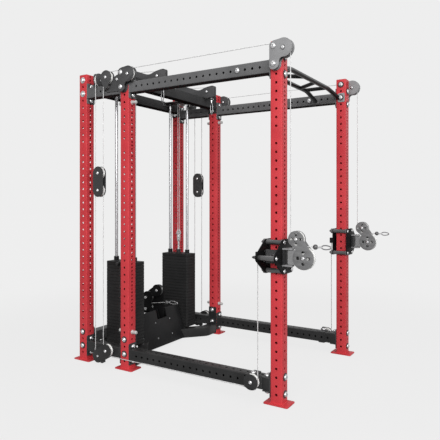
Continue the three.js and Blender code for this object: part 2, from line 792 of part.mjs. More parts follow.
function trolley(s) {
  const inner = innerFace - rollerOut + half - 16;
  const outer = outerFace + rollerOut - half + 16;
  const high = pinZ + rollerUp + 18;
  const low = pinZ - rollerUp - 18;
  const outline = (apex) =>
    [
      [inner, low + 12],
      [inner, high - 12],
      [inner + 12, high],
      [outer - 12, high],
      [outer, high - 10],
      [apex, pinZ + 10],
      [apex, pinZ - 10],
      [outer, low + 10],
      [outer - 12, low],
      [inner + 12, low],
    ].map(([x, z]) => [s * x, z]);
  const front = slab(outline(gripX + 18), "y", -plateFront - 7, -plateFront);
  const rear = slab(outline(gripX + 34), "y", plateRear, plateRear + 6);
  const rollers = [-1, 1].flatMap((side) =>
    [-1, 1].map((up) => {
      const x = s * (cageHalfWidth + side * rollerOut);
      const z = pinZ + up * rollerUp;
      return join(
        rod(rollerRadius, [x, -plateFront - 1, z], [x, plateRear + 1, z]),
        rod(collarRadius, [x, -plateFront - 1, z], [x, -plateFront + 10, z]),
        rod(collarRadius, [x, plateRear + 5, z], [x, bossEnd, z]),
        rod(9, [x, -plateFront - 15, z], [x, bossEnd + 14, z], 6),
      );
    }),
  );
  const grip = join(
    rod(12.5, [s * gripX, -plateFront - 2, pinZ], [s * gripX, bossEnd, pinZ]),
    rod(9, [s * gripX, -plateFront - 15, pinZ], [s * gripX, bossEnd + 20, pinZ], 6),
  );
  const bar = block(
    [s * pinBoss, -plateFront - 1, pinZ - barHalf],
    [s * (pinBoss + 9), plateRear + 1, pinZ + barHalf],
  );
  const boss = rod(13, [s * (pinBoss + 1), 0, pinZ], [s * (pinBoss + bossLength), 0, pinZ]);
  const bore = rod(6.6, [s * (pinBoss - 5), 0, pinZ], [s * (pinBoss + 40), 0, pinZ]);
  const ears = [earTop, earLow].map(([a, b]) =>
    block([s * (planeX - earHalf), dropY - 19, a], [s * (planeX + earHalf), -plateFront - 6, b]),
  );
  const web = block(
    [s * (planeX - 20), dropY + 30, earLow[0] + 1],
    [s * (planeX + 20), -plateFront - 6, earTop[1] - 1],
  );
  const swivelPin = join(
    rod(axleRadius, [s * planeX, dropY, earLow[0] - 1], [s * planeX, dropY, earTop[1] + 1]),
    rod(12, [s * planeX, dropY, earTop[1] - 1], [s * planeX, dropY, earTop[1] + 4]),
  );
  const anchor = block(
    [s * (planeX - 11), plateRear + 5, pinZ - 21],
    [s * (planeX + 11), riseY + 11, pinZ + 21],
  );
  return cut(join(front, rear, rollers, grip, bar, boss, ears, web, swivelPin, anchor), bore);
}

// Spring pin that locks the trolley, drawn just clear of the upright.
function trolleyPin(s) {
  const tip = outerFace + 0.6;
  const knob = pinBoss + bossLength + pinTravel + 0.7;
  return join(
    rod(6, [s * tip, 0, pinZ], [s * (knob + 2), 0, pinZ]),
    rod(11, [s * knob, 0, pinZ], [s * (knob + 21), 0, pinZ]),
  );
}

// ---- swivel arm ----
const armNear = 12; // cable plane to a cheek's inner face
const armThick = 5;
const upperY = dropY - sheaveLine;
const lowerY = dropY - armPitch;
function swivelArm(s) {
  const upperCheek = 48;
  const lowerCheek = bigSheaveRim - 2;
  const lowCentre = [lowerY, pinZ];
  const outline = [
    ...arc([upperY, armUpperZ], upperCheek, -30, 190, 10),
    ...arc(lowCentre, lowerCheek, 128, 405, 12),
  ];
  const link = [
    [dropY + 11, earLow[1] + 3],
    [dropY + 11, earTop[0] - 3],
    [lowerY + 20, earTop[0] - 3],
    [lowerY + 20, earLow[1] + 3],
  ];
  const plates = [-1, 1].flatMap((side) => {
    const a = s * (planeX + side * armNear);
    const b = s * (planeX + side * (armNear + armThick));
    return [slab(outline, "x", a, b), slab(link, "x", a, b)];
  });
  const pivot = (z) => [s * planeX, dropY, z];
  const barrel = rod(armNear + 2, pivot(earLow[1] + 3), pivot(earTop[0] - 3), 16);
  const bore = rod(axleRadius + axleGap, pivot(earLow[0]), pivot(earTop[1]), 16);
  const reach = armNear + armThick + 4;
  const axles = [[upperY, armUpperZ], lowCentre].map(([y, z]) =>
    rod(axleRadius, [s * (planeX - reach), y, z], [s * (planeX + reach), y, z]),
  );
  return cut(join(plates, barrel, axles), bore);
}

// Ball stop and snap hook on the cable's end.
const ballRadius = 15;
function snapHook(from, length) {
  const ring = new THREE.TorusGeometry(11, 3.4, 6, 12);
  ring.rotateZ(Math.PI / 2);
  ring.scale(1, length / 28.8, 1);
  ring.rotateY(Math.PI / 2);
  ring.translate(from[0], from[1] - length / 2, from[2]);
  return solid(ring);
}
function hangingHook(at, length) {
  const ring = new THREE.TorusGeometry(11, 3.4, 6, 12);
  ring.rotateX(Math.PI / 2);
  ring.scale(1, 1, length / 28.8);
  ring.rotateZ(Math.PI / 2);
  ring.translate(at[0], at[1], at[2] - length / 2);
  return solid(ring);
}
function cableEnd(s) {
  const bead = new THREE.SphereGeometry(ballRadius, 10, 7);
  bead.translate(s * planeX, ballY, exitZ);
  const neck = rod(5, [s * planeX, ballY, exitZ], [s * planeX, ballY - 38, exitZ], 8);
  return join(solid(bead), neck, snapHook([s * planeX, ballY - 32, exitZ], 62));
}

for (const [label, s] of sides) {
  add(`float_block_${label}`, floatBlock(s), black);
  add(`trolley_${label}`, trolley(s), black);
  add(`trolley_pin_${label}`, trolleyPin(s), steel);
  add(`swivel_arm_${label}`, swivelArm(s), grey);
  const bore = axleRadius + axleGap;
  const upper = [s * planeX, upperY, armUpperZ];
  const lower = [s * planeX, lowerY, pinZ];
  add(`arm_upper_sheave_${label}`, sheave(upper, "x", sheaveLine, sheaveRim, sheaveWidth, bore), nylon);
  const big = sheave(lower, "x", bigSheaveLine, bigSheaveRim, sheaveWidth, bore);
  add(`arm_lower_sheave_${label}`, big, nylon);
  add(`cable_end_${label}`, cableEnd(s), steel);
}

// ---- cables, on their real routes over the sheaves ----
const inPlane = (s, points) => points.map(([y, z]) => [s * planeX, y, z]);
const acrossPlane = (s, y, points) => points.map(([x, z]) => [s * x, y, z]);
const wrapStep = 22.5; // degrees
const wrap = (centre, from, to) =>
  arc(centre, sheaveLine, from, to, Math.round(Math.abs(to - from) / wrapStep));

function upperCable(s) {
  return tube(
    [
      [s * planeX, ballY + ballRadius + seatGap, exitZ],
      ...inPlane(s, wrap([upperY, armUpperZ], 270, 360)),
      ...inPlane(s, wrap([frontY - axleAhead, topAxleZ], 180, 90).map(([y, z]) => [y, z])),
      [s * planeX, midY - axleAhead, topCableZ],
      ...inPlane(s, wrap([rearAxleY, topAxleZ], 90, 0)),
      ...inPlane(s, wrap([floatY, floatUpperZ], 180, 360)),
      ...acrossPlane(s, diverterY, wrap([diverterX, topAxleZ], 0, 90)),
      ...acrossPlane(s, stackY, wrap([liftX + sheaveLine, topAxleZ], 90, 180)),
      [s * liftX, stackY, yokeTop + seatGap],
    ],
    cableRadius,
  );
}

function lowerCable(s) {
  return tube(
    [
      [s * planeX, riseY, pinZ - 21 - seatGap],
      ...inPlane(s, wrap([lowFrontY, lowAxleZ], 180, 270)),
      ...inPlane(s, wrap([rearAxleY, lowAxleZ], 270, 360)),
      ...inPlane(s, wrap([floatY, floatLowerZ], 180, 0)),
      ...inPlane(s, wrap([deadY, deadZ], 0, -90)),
      [s * planeX, deadY - 24 + seatGap, deadZ - sheaveLine],
    ],
    cableRadius,
  );
}

const latDropY = latAxleY - sheaveLine;
const latBallZ = latAxleZ - 62;
function latCable(s) {
  const route = [
    [s * latX, stackY, yokeTop + seatGap],
    ...wrap([latRearY, latRearZ], 0, 90).map(([y, z]) => [s * latX, y, z]),
    ...wrap([latAxleY, latAxleZ], 90, 180).map(([y, z]) => [s * latX, y, z]),
    [s * latX, latDropY, latBallZ - 40],
  ];
  const bead = new THREE.SphereGeometry(ballRadius, 10, 7);
  bead.translate(s * latX, latDropY, latBallZ);
  return join(tube(route, cableRadius), solid(bead), hangingHook([s * latX, latDropY, latBallZ - 32], 104));
}

function rowCable() {
  const start = rowY - 190;
  const [leaveY, leaveZ] = arc([rowY, rowLowerZ], sheaveLine, 90 - rowRise, 0, 1)[0];
  const slope = Math.tan(THREE.MathUtils.degToRad(rowRise));
  const lineZ = (y) => leaveZ + (leaveY - y) * slope;
  const route = [
    [0, start - 30, lineZ(start - 30)],
    ...wrap([rowY, rowLowerZ], 90 - rowRise, 0).map(([y, z]) => [0, y, z]),
    [0, rowY + sheaveLine, rowLowerZ - 28 + seatGap],
  ];
  const bead = new THREE.SphereGeometry(ballRadius, 10, 7);
  bead.translate(0, start, lineZ(start));
  return join(tube(route, cableRadius), solid(bead), snapHook([0, start - 22, lineZ(start - 22)], 90));
}

for (const [label, s] of sides) {
  add(`upper_cable_${label}`, upperCable(s), steel);
  add(`lower_cable_${label}`, lowerCable(s), steel);
  add(`lat_cable_${label}`, latCable(s), steel);
}
add("row_cable", rowCable(), steel);

// The frame's origin is on the floor, at the middle of the whole cage.
const extent = new THREE.Box3().setFromObject(cage);
cage.position.set(-(extent.min.x + extent.max.x) / 2, -(extent.min.y + extent.max.y) / 2, -extent.min.z);

export default cage;
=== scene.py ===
import math

import bmesh
import bpy
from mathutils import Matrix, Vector
from mathutils.geometry import tessellate_polygon


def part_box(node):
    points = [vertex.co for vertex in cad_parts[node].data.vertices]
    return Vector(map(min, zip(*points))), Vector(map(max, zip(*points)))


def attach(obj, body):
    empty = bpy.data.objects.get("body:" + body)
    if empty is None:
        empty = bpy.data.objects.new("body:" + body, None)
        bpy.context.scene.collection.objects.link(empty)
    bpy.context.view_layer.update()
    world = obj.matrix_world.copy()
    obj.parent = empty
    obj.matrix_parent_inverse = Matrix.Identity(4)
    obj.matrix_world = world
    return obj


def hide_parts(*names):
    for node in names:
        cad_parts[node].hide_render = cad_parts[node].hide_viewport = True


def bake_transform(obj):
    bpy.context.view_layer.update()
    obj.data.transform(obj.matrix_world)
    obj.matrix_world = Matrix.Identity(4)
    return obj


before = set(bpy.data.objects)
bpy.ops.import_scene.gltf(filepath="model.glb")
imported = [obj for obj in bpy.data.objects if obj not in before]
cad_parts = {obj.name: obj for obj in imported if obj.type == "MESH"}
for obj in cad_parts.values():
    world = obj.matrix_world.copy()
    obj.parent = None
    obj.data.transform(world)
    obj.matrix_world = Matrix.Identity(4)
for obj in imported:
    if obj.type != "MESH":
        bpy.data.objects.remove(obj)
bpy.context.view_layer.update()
scene = bpy.context.scene

# Lengths are millimetres in the cage's own frame: y counts back from the front uprights, z up.
cage = {
    "tube": 76.2,
    "wall": 3.0,
    "corner": 5.5,
    "pitch": 50.8,
    "holeRadius": 8.0,
    "firstHole": 60.0,
    "halfWidth": 577.85,
    "height": 2133.6,
    "rows": {"front": 0.0, "mid": 1181.1, "rear": 1593.85},
    "cablePlane": 20.0,
    "cableRadius": 2.4,
    "line": 39.0,
    "rim": 45.0,
}
half, pitch, rows, line = cage["tube"] / 2, cage["pitch"], cage["rows"], cage["line"]
outerFace = cage["halfWidth"] + half
innerFace = cage["halfWidth"] - half
planeX = outerFace + cage["cablePlane"]
both = (-1, 1)
sides = {"left": -1, "right": 1}
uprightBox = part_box("front_upright_left")
frontRow = (uprightBox[0][1] + uprightBox[1][1]) / 2
alongX, alongY, alongZ = (1, 0, 0), (0, 1, 0), (0, 0, 1)


def place(x, y, z):
    return Vector((x / 1000, y / 1000 + frontRow, z / 1000))


def holeZ(k):
    return cage["firstHole"] + pitch * k


def linked(name, data, at=(0, 0, 0)):
    thing = bpy.data.objects.new(name, data)
    thing.location = at
    scene.collection.objects.link(thing)
    return thing


# node trees
def feed(tree, node, inputs):
    # each input takes a value or another node's output
    for key, value in inputs.items():
        if isinstance(value, bpy.types.NodeSocket):
            tree.links.new(value, node.inputs[key])
        else:
            node.inputs[key].default_value = value
    return node


def add(tree, kind, inputs=None, **settings):
    node = tree.nodes.new(kind)
    for name, value in settings.items():
        setattr(node, name, value)
    return feed(tree, node, inputs or {})


def newTree(name, kind, inputs, outputs):
    # inputs are (label, kind of socket, default value or None); gives the tree and its input sockets
    tree = bpy.data.node_groups.new(name, kind)
    for label, socket, value in inputs:
        made = tree.interface.new_socket(label, in_out="INPUT", socket_type="NodeSocket" + socket)
        if value is not None:
            made.default_value = value
    for label, socket in outputs:
        tree.interface.new_socket(label, in_out="OUTPUT", socket_type="NodeSocket" + socket)
    return tree, add(tree, "NodeGroupInput").outputs


def multiplied(tree, first, second):
    return add(tree, "ShaderNodeMath", {0: first, 1: second}, operation="MULTIPLY").outputs[0]


def ranged(tree, value, low, high, toLow, toHigh, **settings):
    inputs = {"Value": value, "From Min": low, "From Max": high, "To Min": toLow, "To Max": toHigh}
    return add(tree, "ShaderNodeMapRange", inputs, **settings).outputs["Result"]


# camera, light and floor
view = {
    "lens": 41.955, "sensor": 36, "shiftY": -0.0507, "clip": 100,
    "at": (-3335.0, -1302.6, 1214.2), "turn": -58.151,
}
studio = {
    "backdrop": 0.855,
    "ambient": 0.17,
    "floorGlow": 0.857,
    "floorShare": 0.90,
    "floorFade": (1.6, 4.2),
    "floorMatte": 0.05,
    "floorSeen": 0.8,
    "floorReach": 30,
    "floorDrop": 0.0005,
    "aim": (0, 0.2, 1.0),
}
lamps = {
    "left": {"at": (-7.6, -2.6, 3.6), "size": (7.0, 4.4), "watts": 590},
    "front": {"at": (-3.4, -8.0, 3.4), "size": (6.0, 4.4), "watts": 330},
    "right": {"at": (5.0, -3.0, 3.6), "size": (3.0, 3.0), "watts": 40},
    "top": {"at": (0.0, 0.0, 5.4), "size": (5.0, 5.0), "watts": 90},
}


def makeCamera():
    camera = bpy.data.cameras.new("camera")
    camera.lens, camera.sensor_width = view["lens"], view["sensor"]
    camera.shift_y, camera.clip_end = view["shiftY"], view["clip"]
    scene.camera = linked("camera", camera, place(*view["at"]))
    scene.camera.rotation_euler = (math.radians(90), 0, math.radians(view["turn"]))


def makeLamp(name, at, size, watts):
    lamp = bpy.data.lights.new(name, "AREA")
    lamp.shape = "RECTANGLE"
    lamp.size, lamp.size_y = size
    lamp.energy = watts
    aim = Vector(studio["aim"]) - Vector(at)
    linked(name, lamp, at).rotation_euler = aim.to_track_quat("-Z", "Y").to_euler()


def seenDirectly(tree):
    # 1 for rays that come straight from the camera, off a mirror or through glass
    path = add(tree, "ShaderNodeLightPath").outputs
    value = path["Is Camera Ray"]
    for name in ("Is Glossy Ray", "Is Transmission Ray"):
        value = add(tree, "ShaderNodeMath", {0: value, 1: path[name]}, operation="MAXIMUM").outputs[0]
    return value


def grey(level):
    return (level, level, level, 1)


def makeWorld():
    scene.world = bpy.data.worlds.new("studio")
    scene.world.use_nodes = True
    tree = scene.world.node_tree
    tree.nodes.clear()
    unseen, seen = (
        add(tree, "ShaderNodeBackground", {"Color": grey(studio[name])}).outputs[0]
        for name in ("ambient", "backdrop")
    )
    mix = add(tree, "ShaderNodeMixShader", {0: seenDirectly(tree), 1: unseen, 2: seen})
    add(tree, "ShaderNodeOutputWorld", {0: mix.outputs[0]})


def floorMaterial():
    material = bpy.data.materials.new("studioFloor")
    material.use_nodes = True
    tree = material.node_tree
    tree.nodes.clear()
    direct = seenDirectly(tree)
    where = add(tree, "ShaderNodeTexCoord").outputs["Object"]
    distance = add(tree, "ShaderNodeVectorMath", {0: where}, operation="LENGTH").outputs["Value"]
    fade, share = studio["floorFade"], studio["floorShare"]
    share = ranged(tree, distance, *fade, share, 1, interpolation_type="SMOOTHSTEP")
    tone = ranged(tree, direct, 0, 1, studio["floorMatte"], studio["floorSeen"])
    matte = add(tree, "ShaderNodeBsdfDiffuse", {"Color": tone}).outputs[0]
    glow = add(tree, "ShaderNodeEmission", {"Color": grey(studio["floorGlow"])}).outputs[0]
    mix = add(tree, "ShaderNodeMixShader", {0: multiplied(tree, direct, share), 1: matte, 2: glow})
    add(tree, "ShaderNodeOutputMaterial", {0: mix.outputs[0]})
    return material


def makeFloor():
    mesh = bpy.data.meshes.new("floor")
    reach = studio["floorReach"]
    corners = [(-reach, -reach, 0), (reach, -reach, 0), (reach, reach, 0), (-reach, reach, 0)]
    mesh.from_pydata(corners, [], [(0, 1, 2, 3)])
    mesh.materials.append(floorMaterial())
    linked("floor", mesh, (0, 0, -studio["floorDrop"]))


scene.view_settings.view_transform = "Standard"
makeCamera()
makeWorld()
makeFloor()
for name, values in lamps.items():
    makeLamp(name + "Lamp", **values)
print("studio ready")


# materials
grainSpec = {
    "grain": 700.0, "grainDetail": 3.0, "mottle": 7.0, "mottleDetail": 4.0,
    "speck": 260.0, "speckDetail": 2.0,
    # next line: the pointiness range and the patch strength of the painted highlight on convex edges, among the
    # other ranges
    "edge": (0.53, 0.62), "patches": (0.35, 0.65), "highlightBreakup": (0.3, 1.0), "flecks": (0.5, 0.72),
}
lineSpec = {"stretch": (900.0, 900.0, 20.0), "smudge": 35.0, "detail": 3.0, "spread": (0.3, 0.7)}
bumpDepth = {"coat": 0.0006, "metal": 0.0003, "nylon": 0.0005}
nylonSpec = {"grain": 420, "mottle": 45, "bump": 0.08}


def noise(tree, where, scale, detail):
    return add(tree, "ShaderNodeTexNoise", {"Vector": where, "Scale": scale, "Detail": detail}).outputs[0]


def coatGroup():
    # powder coat: fine orange peel, slow mottling and a painted highlight on convex edges, broken into patches, all
    # as plain values
    spec = grainSpec
    inputs = [("Grain Scale", "Float", spec["grain"]), ("Mottle Scale", "Float", spec["mottle"])]
    outputs = [(name, "Float") for name in ("Height", "Mottle", "Edge", "Speck")]
    tree, source = newTree("coatGrain", "ShaderNodeTree", inputs, outputs)
    where = add(tree, "ShaderNodeTexCoord").outputs["Object"]
    mottle = noise(tree, where, source["Mottle Scale"], spec["mottleDetail"])
    speck = noise(tree, where, spec["speck"], spec["speckDetail"])
    # convex edges by pointiness: the mask of the painted edge highlight
    edge = ranged(tree, add(tree, "ShaderNodeNewGeometry").outputs["Pointiness"], *spec["edge"], 0, 1)
    add(tree, "NodeGroupOutput", {
        "Height": noise(tree, where, source["Grain Scale"], spec["grainDetail"]),
        "Mottle": ranged(tree, mottle, *spec["patches"], 0, 1),
        "Edge": multiplied(tree, edge, ranged(tree, speck, *spec["patches"], *spec["highlightBreakup"])),
        "Speck": ranged(tree, speck, *spec["flecks"], 0, 1),
    })
    return tree


def brushedGroup():
    # fine lines along a chosen axis, for plated and ground steel
    inputs = [("Stretch", "Vector", lineSpec["stretch"])]
    outputs = [("Height", "Float"), ("Smudge", "Float")]
    tree, source = newTree("turnedLines", "ShaderNodeTree", inputs, outputs)
    where = add(tree, "ShaderNodeTexCoord").outputs["Object"]
    stretch = {0: where, 1: source["Stretch"]}
    drawn = add(tree, "ShaderNodeVectorMath", stretch, operation="MULTIPLY").outputs[0]
    add(tree, "NodeGroupOutput", {
        "Height": noise(tree, drawn, 1.0, lineSpec["detail"]),
        "Smudge": noise(tree, where, lineSpec["smudge"], lineSpec["detail"]),
    })
    return tree


coatGrain = coatGroup()
turnedLines = brushedGroup()

# deep, pale and edge colour as (red and green, blue), then roughness range, bump and shine; the edge colour is a
# painted highlight on convex edges
greyCoats = {
    "blackCoat": ((0.0060, 0.0064), (0.0105, 0.011), (0.08, 0.082), (0.36, 0.48), 0.18, 0.13),
    "deepCoat": ((0.0045, 0.0047), (0.0075, 0.0077), (0.06, 0.062), (0.36, 0.48), 0.18, 0.03),
    # the black coat lightened a little for the low beams and low crossmembers: painted light
    "lowCoat": ((0.019, 0.0192), (0.028, 0.0283), (0.10, 0.102), (0.38, 0.50), 0.18, 0.14),
    # the black coat lightened for the float blocks: painted light
    "floatCoat": ((0.028, 0.0285), (0.040, 0.0405), (0.14, 0.142), (0.36, 0.46), 0.16, 0.16),
    # the black coat made mid grey for the top beams and the rear pull-up flanges: painted light
    "upperCoat": ((0.118, 0.120), (0.150, 0.153), (0.26, 0.262), (0.44, 0.54), 0.16, 0.0),
    # one middle tone: the grey coat darkened for the mid top brackets (painted shade), the black coat lightened for
    # the rear top and lat brackets (painted light)
    "middleCoat": ((0.054, 0.0555), (0.072, 0.074), (0.30, 0.302), (0.38, 0.48), 0.16, 0.06),
    "barCoat": ((0.0035, 0.0037), (0.006, 0.0062), (0.03, 0.03), (0.18, 0.25), 0.08, 0.06),
    "shadeCoat": ((0.024, 0.0245), (0.034, 0.0345), (0.12, 0.122), (0.40, 0.52), 0.16, 0.0),
    "greyCoat": ((0.225, 0.229), (0.275, 0.28), (0.34, 0.345), (0.40, 0.50), 0.14, 0.12),
    # the grey coat darkened for the swivel arms: painted shade
    "armCoat": ((0.160, 0.162), (0.205, 0.208), (0.36, 0.365), (0.36, 0.46), 0.18, 0.14),
    "plateIron": ((0.0085, 0.0087), (0.014, 0.0142), (0.06, 0.06), (0.50, 0.62), 0.25, 0.10),
    "rollerRubber": ((0.036, 0.037), (0.052, 0.053), (0.13, 0.13), (0.24, 0.34), 0.06, 0.75),
}
redCoat = ((0.53, 0.040, 0.050), (0.61, 0.050, 0.061), (0.68, 0.12, 0.12), (0.40, 0.52), 0.12, 0.12)
# dark and light colour, roughness range, bump and the stretch of the lines
metals = {
    "zincPlate": ((0.40, 0.40, 0.41), (0.54, 0.54, 0.54), (0.22, 0.34), 0.05, (500, 500, 500)),
    "hookSteel": ((0.17, 0.17, 0.175), (0.26, 0.26, 0.265), (0.20, 0.28), 0.02, (400, 400, 400)),
    "polishedChrome": ((0.34, 0.34, 0.35), (0.42, 0.42, 0.43), (0.26, 0.32), 0.0, (1500, 1500, 25)),
}
# base and worn colour, roughness range
nylons = {
    "whiteNylon": ((0.78, 0.78, 0.77), (0.62, 0.62, 0.60), (0.32, 0.45)),
    "cableCover": ((0.66, 0.66, 0.66), (0.52, 0.52, 0.52), (0.30, 0.45)),
    # black nylon for the row sheaves; also the painted shade ring in the recess of the arm sheaves
    "darkNylon": ((0.020, 0.020, 0.020), (0.034, 0.034, 0.034), (0.26, 0.38)),
    "pegNylon": ((0.55, 0.55, 0.54), (0.44, 0.44, 0.43), (0.40, 0.52)),
}


def blended(tree, factor, first, second):
    inputs = {"Factor": factor}
    for key, colour in (("A", first), ("B", second)):
        inputs[key] = colour + (1,) if isinstance(colour, tuple) else colour
    return add(tree, "ShaderNodeMix", inputs, data_type="RGBA").outputs["Result"]


def bumped(tree, height, strength, depth):
    inputs = {"Height": height, "Strength": strength, "Distance": depth}
    return add(tree, "ShaderNodeBump", inputs).outputs["Normal"]


def newMaterial(name):
    material = bpy.data.materials.new(name)
    material.use_nodes = True
    return material, material.node_tree, material.node_tree.nodes["Principled BSDF"]


def coat(name, deep, pale, edge, rough, bump, shine):
    material, tree, shader = newMaterial(name)
    grain = add(tree, "ShaderNodeGroup", node_tree=coatGrain).outputs
    base = blended(tree, grain["Mottle"], deep, pale)
    feed(tree, shader, {
        # the edge colour goes on convex edges: a painted highlight
        "Base Color": blended(tree, grain["Edge"], base, edge),
        "Roughness": ranged(tree, grain["Speck"], 0, 1, *rough),
        "Normal": bumped(tree, grain["Height"], bump, bumpDepth["coat"]),
        "Specular IOR Level": shine,
    })
    return material


def metal(name, dark, light, rough, grain, stretch):
    material, tree, shader = newMaterial(name)
    lines = add(tree, "ShaderNodeGroup", {"Stretch": stretch}, node_tree=turnedLines).outputs
    feed(tree, shader, {
        "Base Color": blended(tree, lines["Smudge"], dark, light),
        "Roughness": ranged(tree, lines["Smudge"], *lineSpec["spread"], *rough),
        "Metallic": 1.0,
    })
    if grain:
        feed(tree, shader, {"Normal": bumped(tree, lines["Height"], grain, bumpDepth["metal"])})
    return material


def nylon(name, base, worn, rough):
    material, tree, shader = newMaterial(name)
    scales = {"Grain Scale": nylonSpec["grain"], "Mottle Scale": nylonSpec["mottle"]}
    grain = add(tree, "ShaderNodeGroup", scales, node_tree=coatGrain).outputs
    feed(tree, shader, {
        "Base Color": blended(tree, grain["Mottle"], base, worn),
        "Roughness": ranged(tree, grain["Speck"], 0, 1, *rough),
        "Normal": bumped(tree, grain["Height"], nylonSpec["bump"], bumpDepth["nylon"]),
    })
    return material


paints = {"redCoat": coat("redCoat", *redCoat)}
for name, (*tones, rough, bump, shine) in greyCoats.items():
    paints[name] = coat(name, *[(level, level, blue) for level, blue in tones], rough, bump, shine)
paints.update({name: metal(name, *values) for name, values in metals.items()})
paints.update({name: nylon(name, *values) for name, values in nylons.items()})
print("materials ready:", len(paints))


# outlines
def ccw(loop):
    area = sum(a[0] * b[1] - b[0] * a[1] for a, b in zip(loop, loop[1:] + loop[:1]))
    return list(loop) if area > 0 else list(reversed(loop))


def turns(count):
    return [math.tau * i / count for i in range(count)]


def circle(u, v, radius, count=20):
    return [(u + radius * math.cos(t), v + radius * math.sin(t)) for t in turns(count)]


def arc(centre, radius, start, end, steps):
    angles = [math.radians(start + (end - start) * i / steps) for i in range(steps + 1)]
    return [(centre[0] + radius * math.cos(a), centre[1] + radius * math.sin(a)) for a in angles]


def rectangle(u0, v0, u1, v1):
    return [(u0, v0), (u1, v0), (u1, v1), (u0, v1)]


def softCorner(before, corner, after, radius, share, steps):
    # bends a corner round, and takes at most a share of the sides next to it
    a, b = before - corner, after - corner
    cut = min(radius, a.length * share, b.length * share)
    if cut < 0.05:
        return [corner]
    start, end = corner + a.normalized() * cut, corner + b.normalized() * cut
    shares = [k / steps for k in range(steps + 1)]
    return [start * (1 - t) ** 2 + corner * 2 * t * (1 - t) + end * t * t for t in shares]


def rounded(loop, radius, steps=4):
    # softens the corners of an outline; radius may be one number or one for each corner
    radii = radius if isinstance(radius, (list, tuple)) else [radius] * len(loop)
    spots, out = [Vector(p) for p in loop], []
    for i, corner in enumerate(spots):
        after = spots[(i + 1) % len(spots)]
        out += [tuple(p) for p in softCorner(spots[i - 1], corner, after, radii[i], 0.48, steps)]
    return out


def pad(u, v, wide, tall, radius, steps=4):
    # a rectangle about its middle, with round corners
    return rounded(rectangle(u - wide / 2, v - tall / 2, u + wide / 2, v + tall / 2), radius, steps)


def hull(points):
    # the rounded strap round a few circles given as (u, v, radius)
    cloud = sorted({(round(p[0], 4), round(p[1], 4)) for u, v, r in points for p in circle(u, v, r, 48)})

    def chain(ordered):
        kept = []
        for p in ordered:
            while len(kept) > 1:
                (ax, ay), (bx, by) = kept[-2], kept[-1]
                if (bx - ax) * (p[1] - ay) - (by - ay) * (p[0] - ax) > 0:
                    break
                kept.pop()
            kept.append(p)
        return kept[:-1]

    return chain(cloud) + chain(list(reversed(cloud)))


def inset(loop, distance):
    moved = []
    for i, point in enumerate(loop):
        p, q, r = Vector(loop[i - 1]), Vector(point), Vector(loop[(i + 1) % len(loop)])
        a, b = (q - p).normalized(), (r - q).normalized()
        na, nb = Vector((-a.y, a.x)), Vector((-b.y, b.x))
        moved.append(tuple(q + (na + nb) * (distance / max(0.4, 1 + na.dot(nb)))))
    return moved


def mitred(path, offset):
    # a strip of even width along a bent centreline
    points = [Vector(p) for p in path]

    def edge(sign):
        out = []
        for i, p in enumerate(points):
            a = (p - points[i - 1]).normalized() if i else (points[1] - p).normalized()
            b = (points[i + 1] - p).normalized() if i < len(points) - 1 else a
            normal = Vector((-a.y - b.y, a.x + b.x)).normalized()
            out.append(tuple(p + normal * (sign * offset / math.sqrt((1 + a.dot(b)) / 2))))
        return out

    return edge(-1) + list(reversed(edge(1)))


def softPath(points, radius, steps=6):
    # a path in space with its corners bent round
    points = [Vector(p) for p in points]
    out = [points[0]]
    for before, corner, after in zip(points, points[1:], points[2:]):
        out += softCorner(before, corner, after, radius, 0.45, steps)
    return out + [points[-1]]


def spotOn(axis, u, v, w):
    # a place w along an axis; u and v are the other two, in order
    return {"x": (w, u, v), "y": (u, w, v), "z": (u, v, w)}[axis]


def roundAt(middle, across, other, radius, count):
    return [middle + (across * math.cos(t) + other * math.sin(t)) * radius for t in turns(count)]


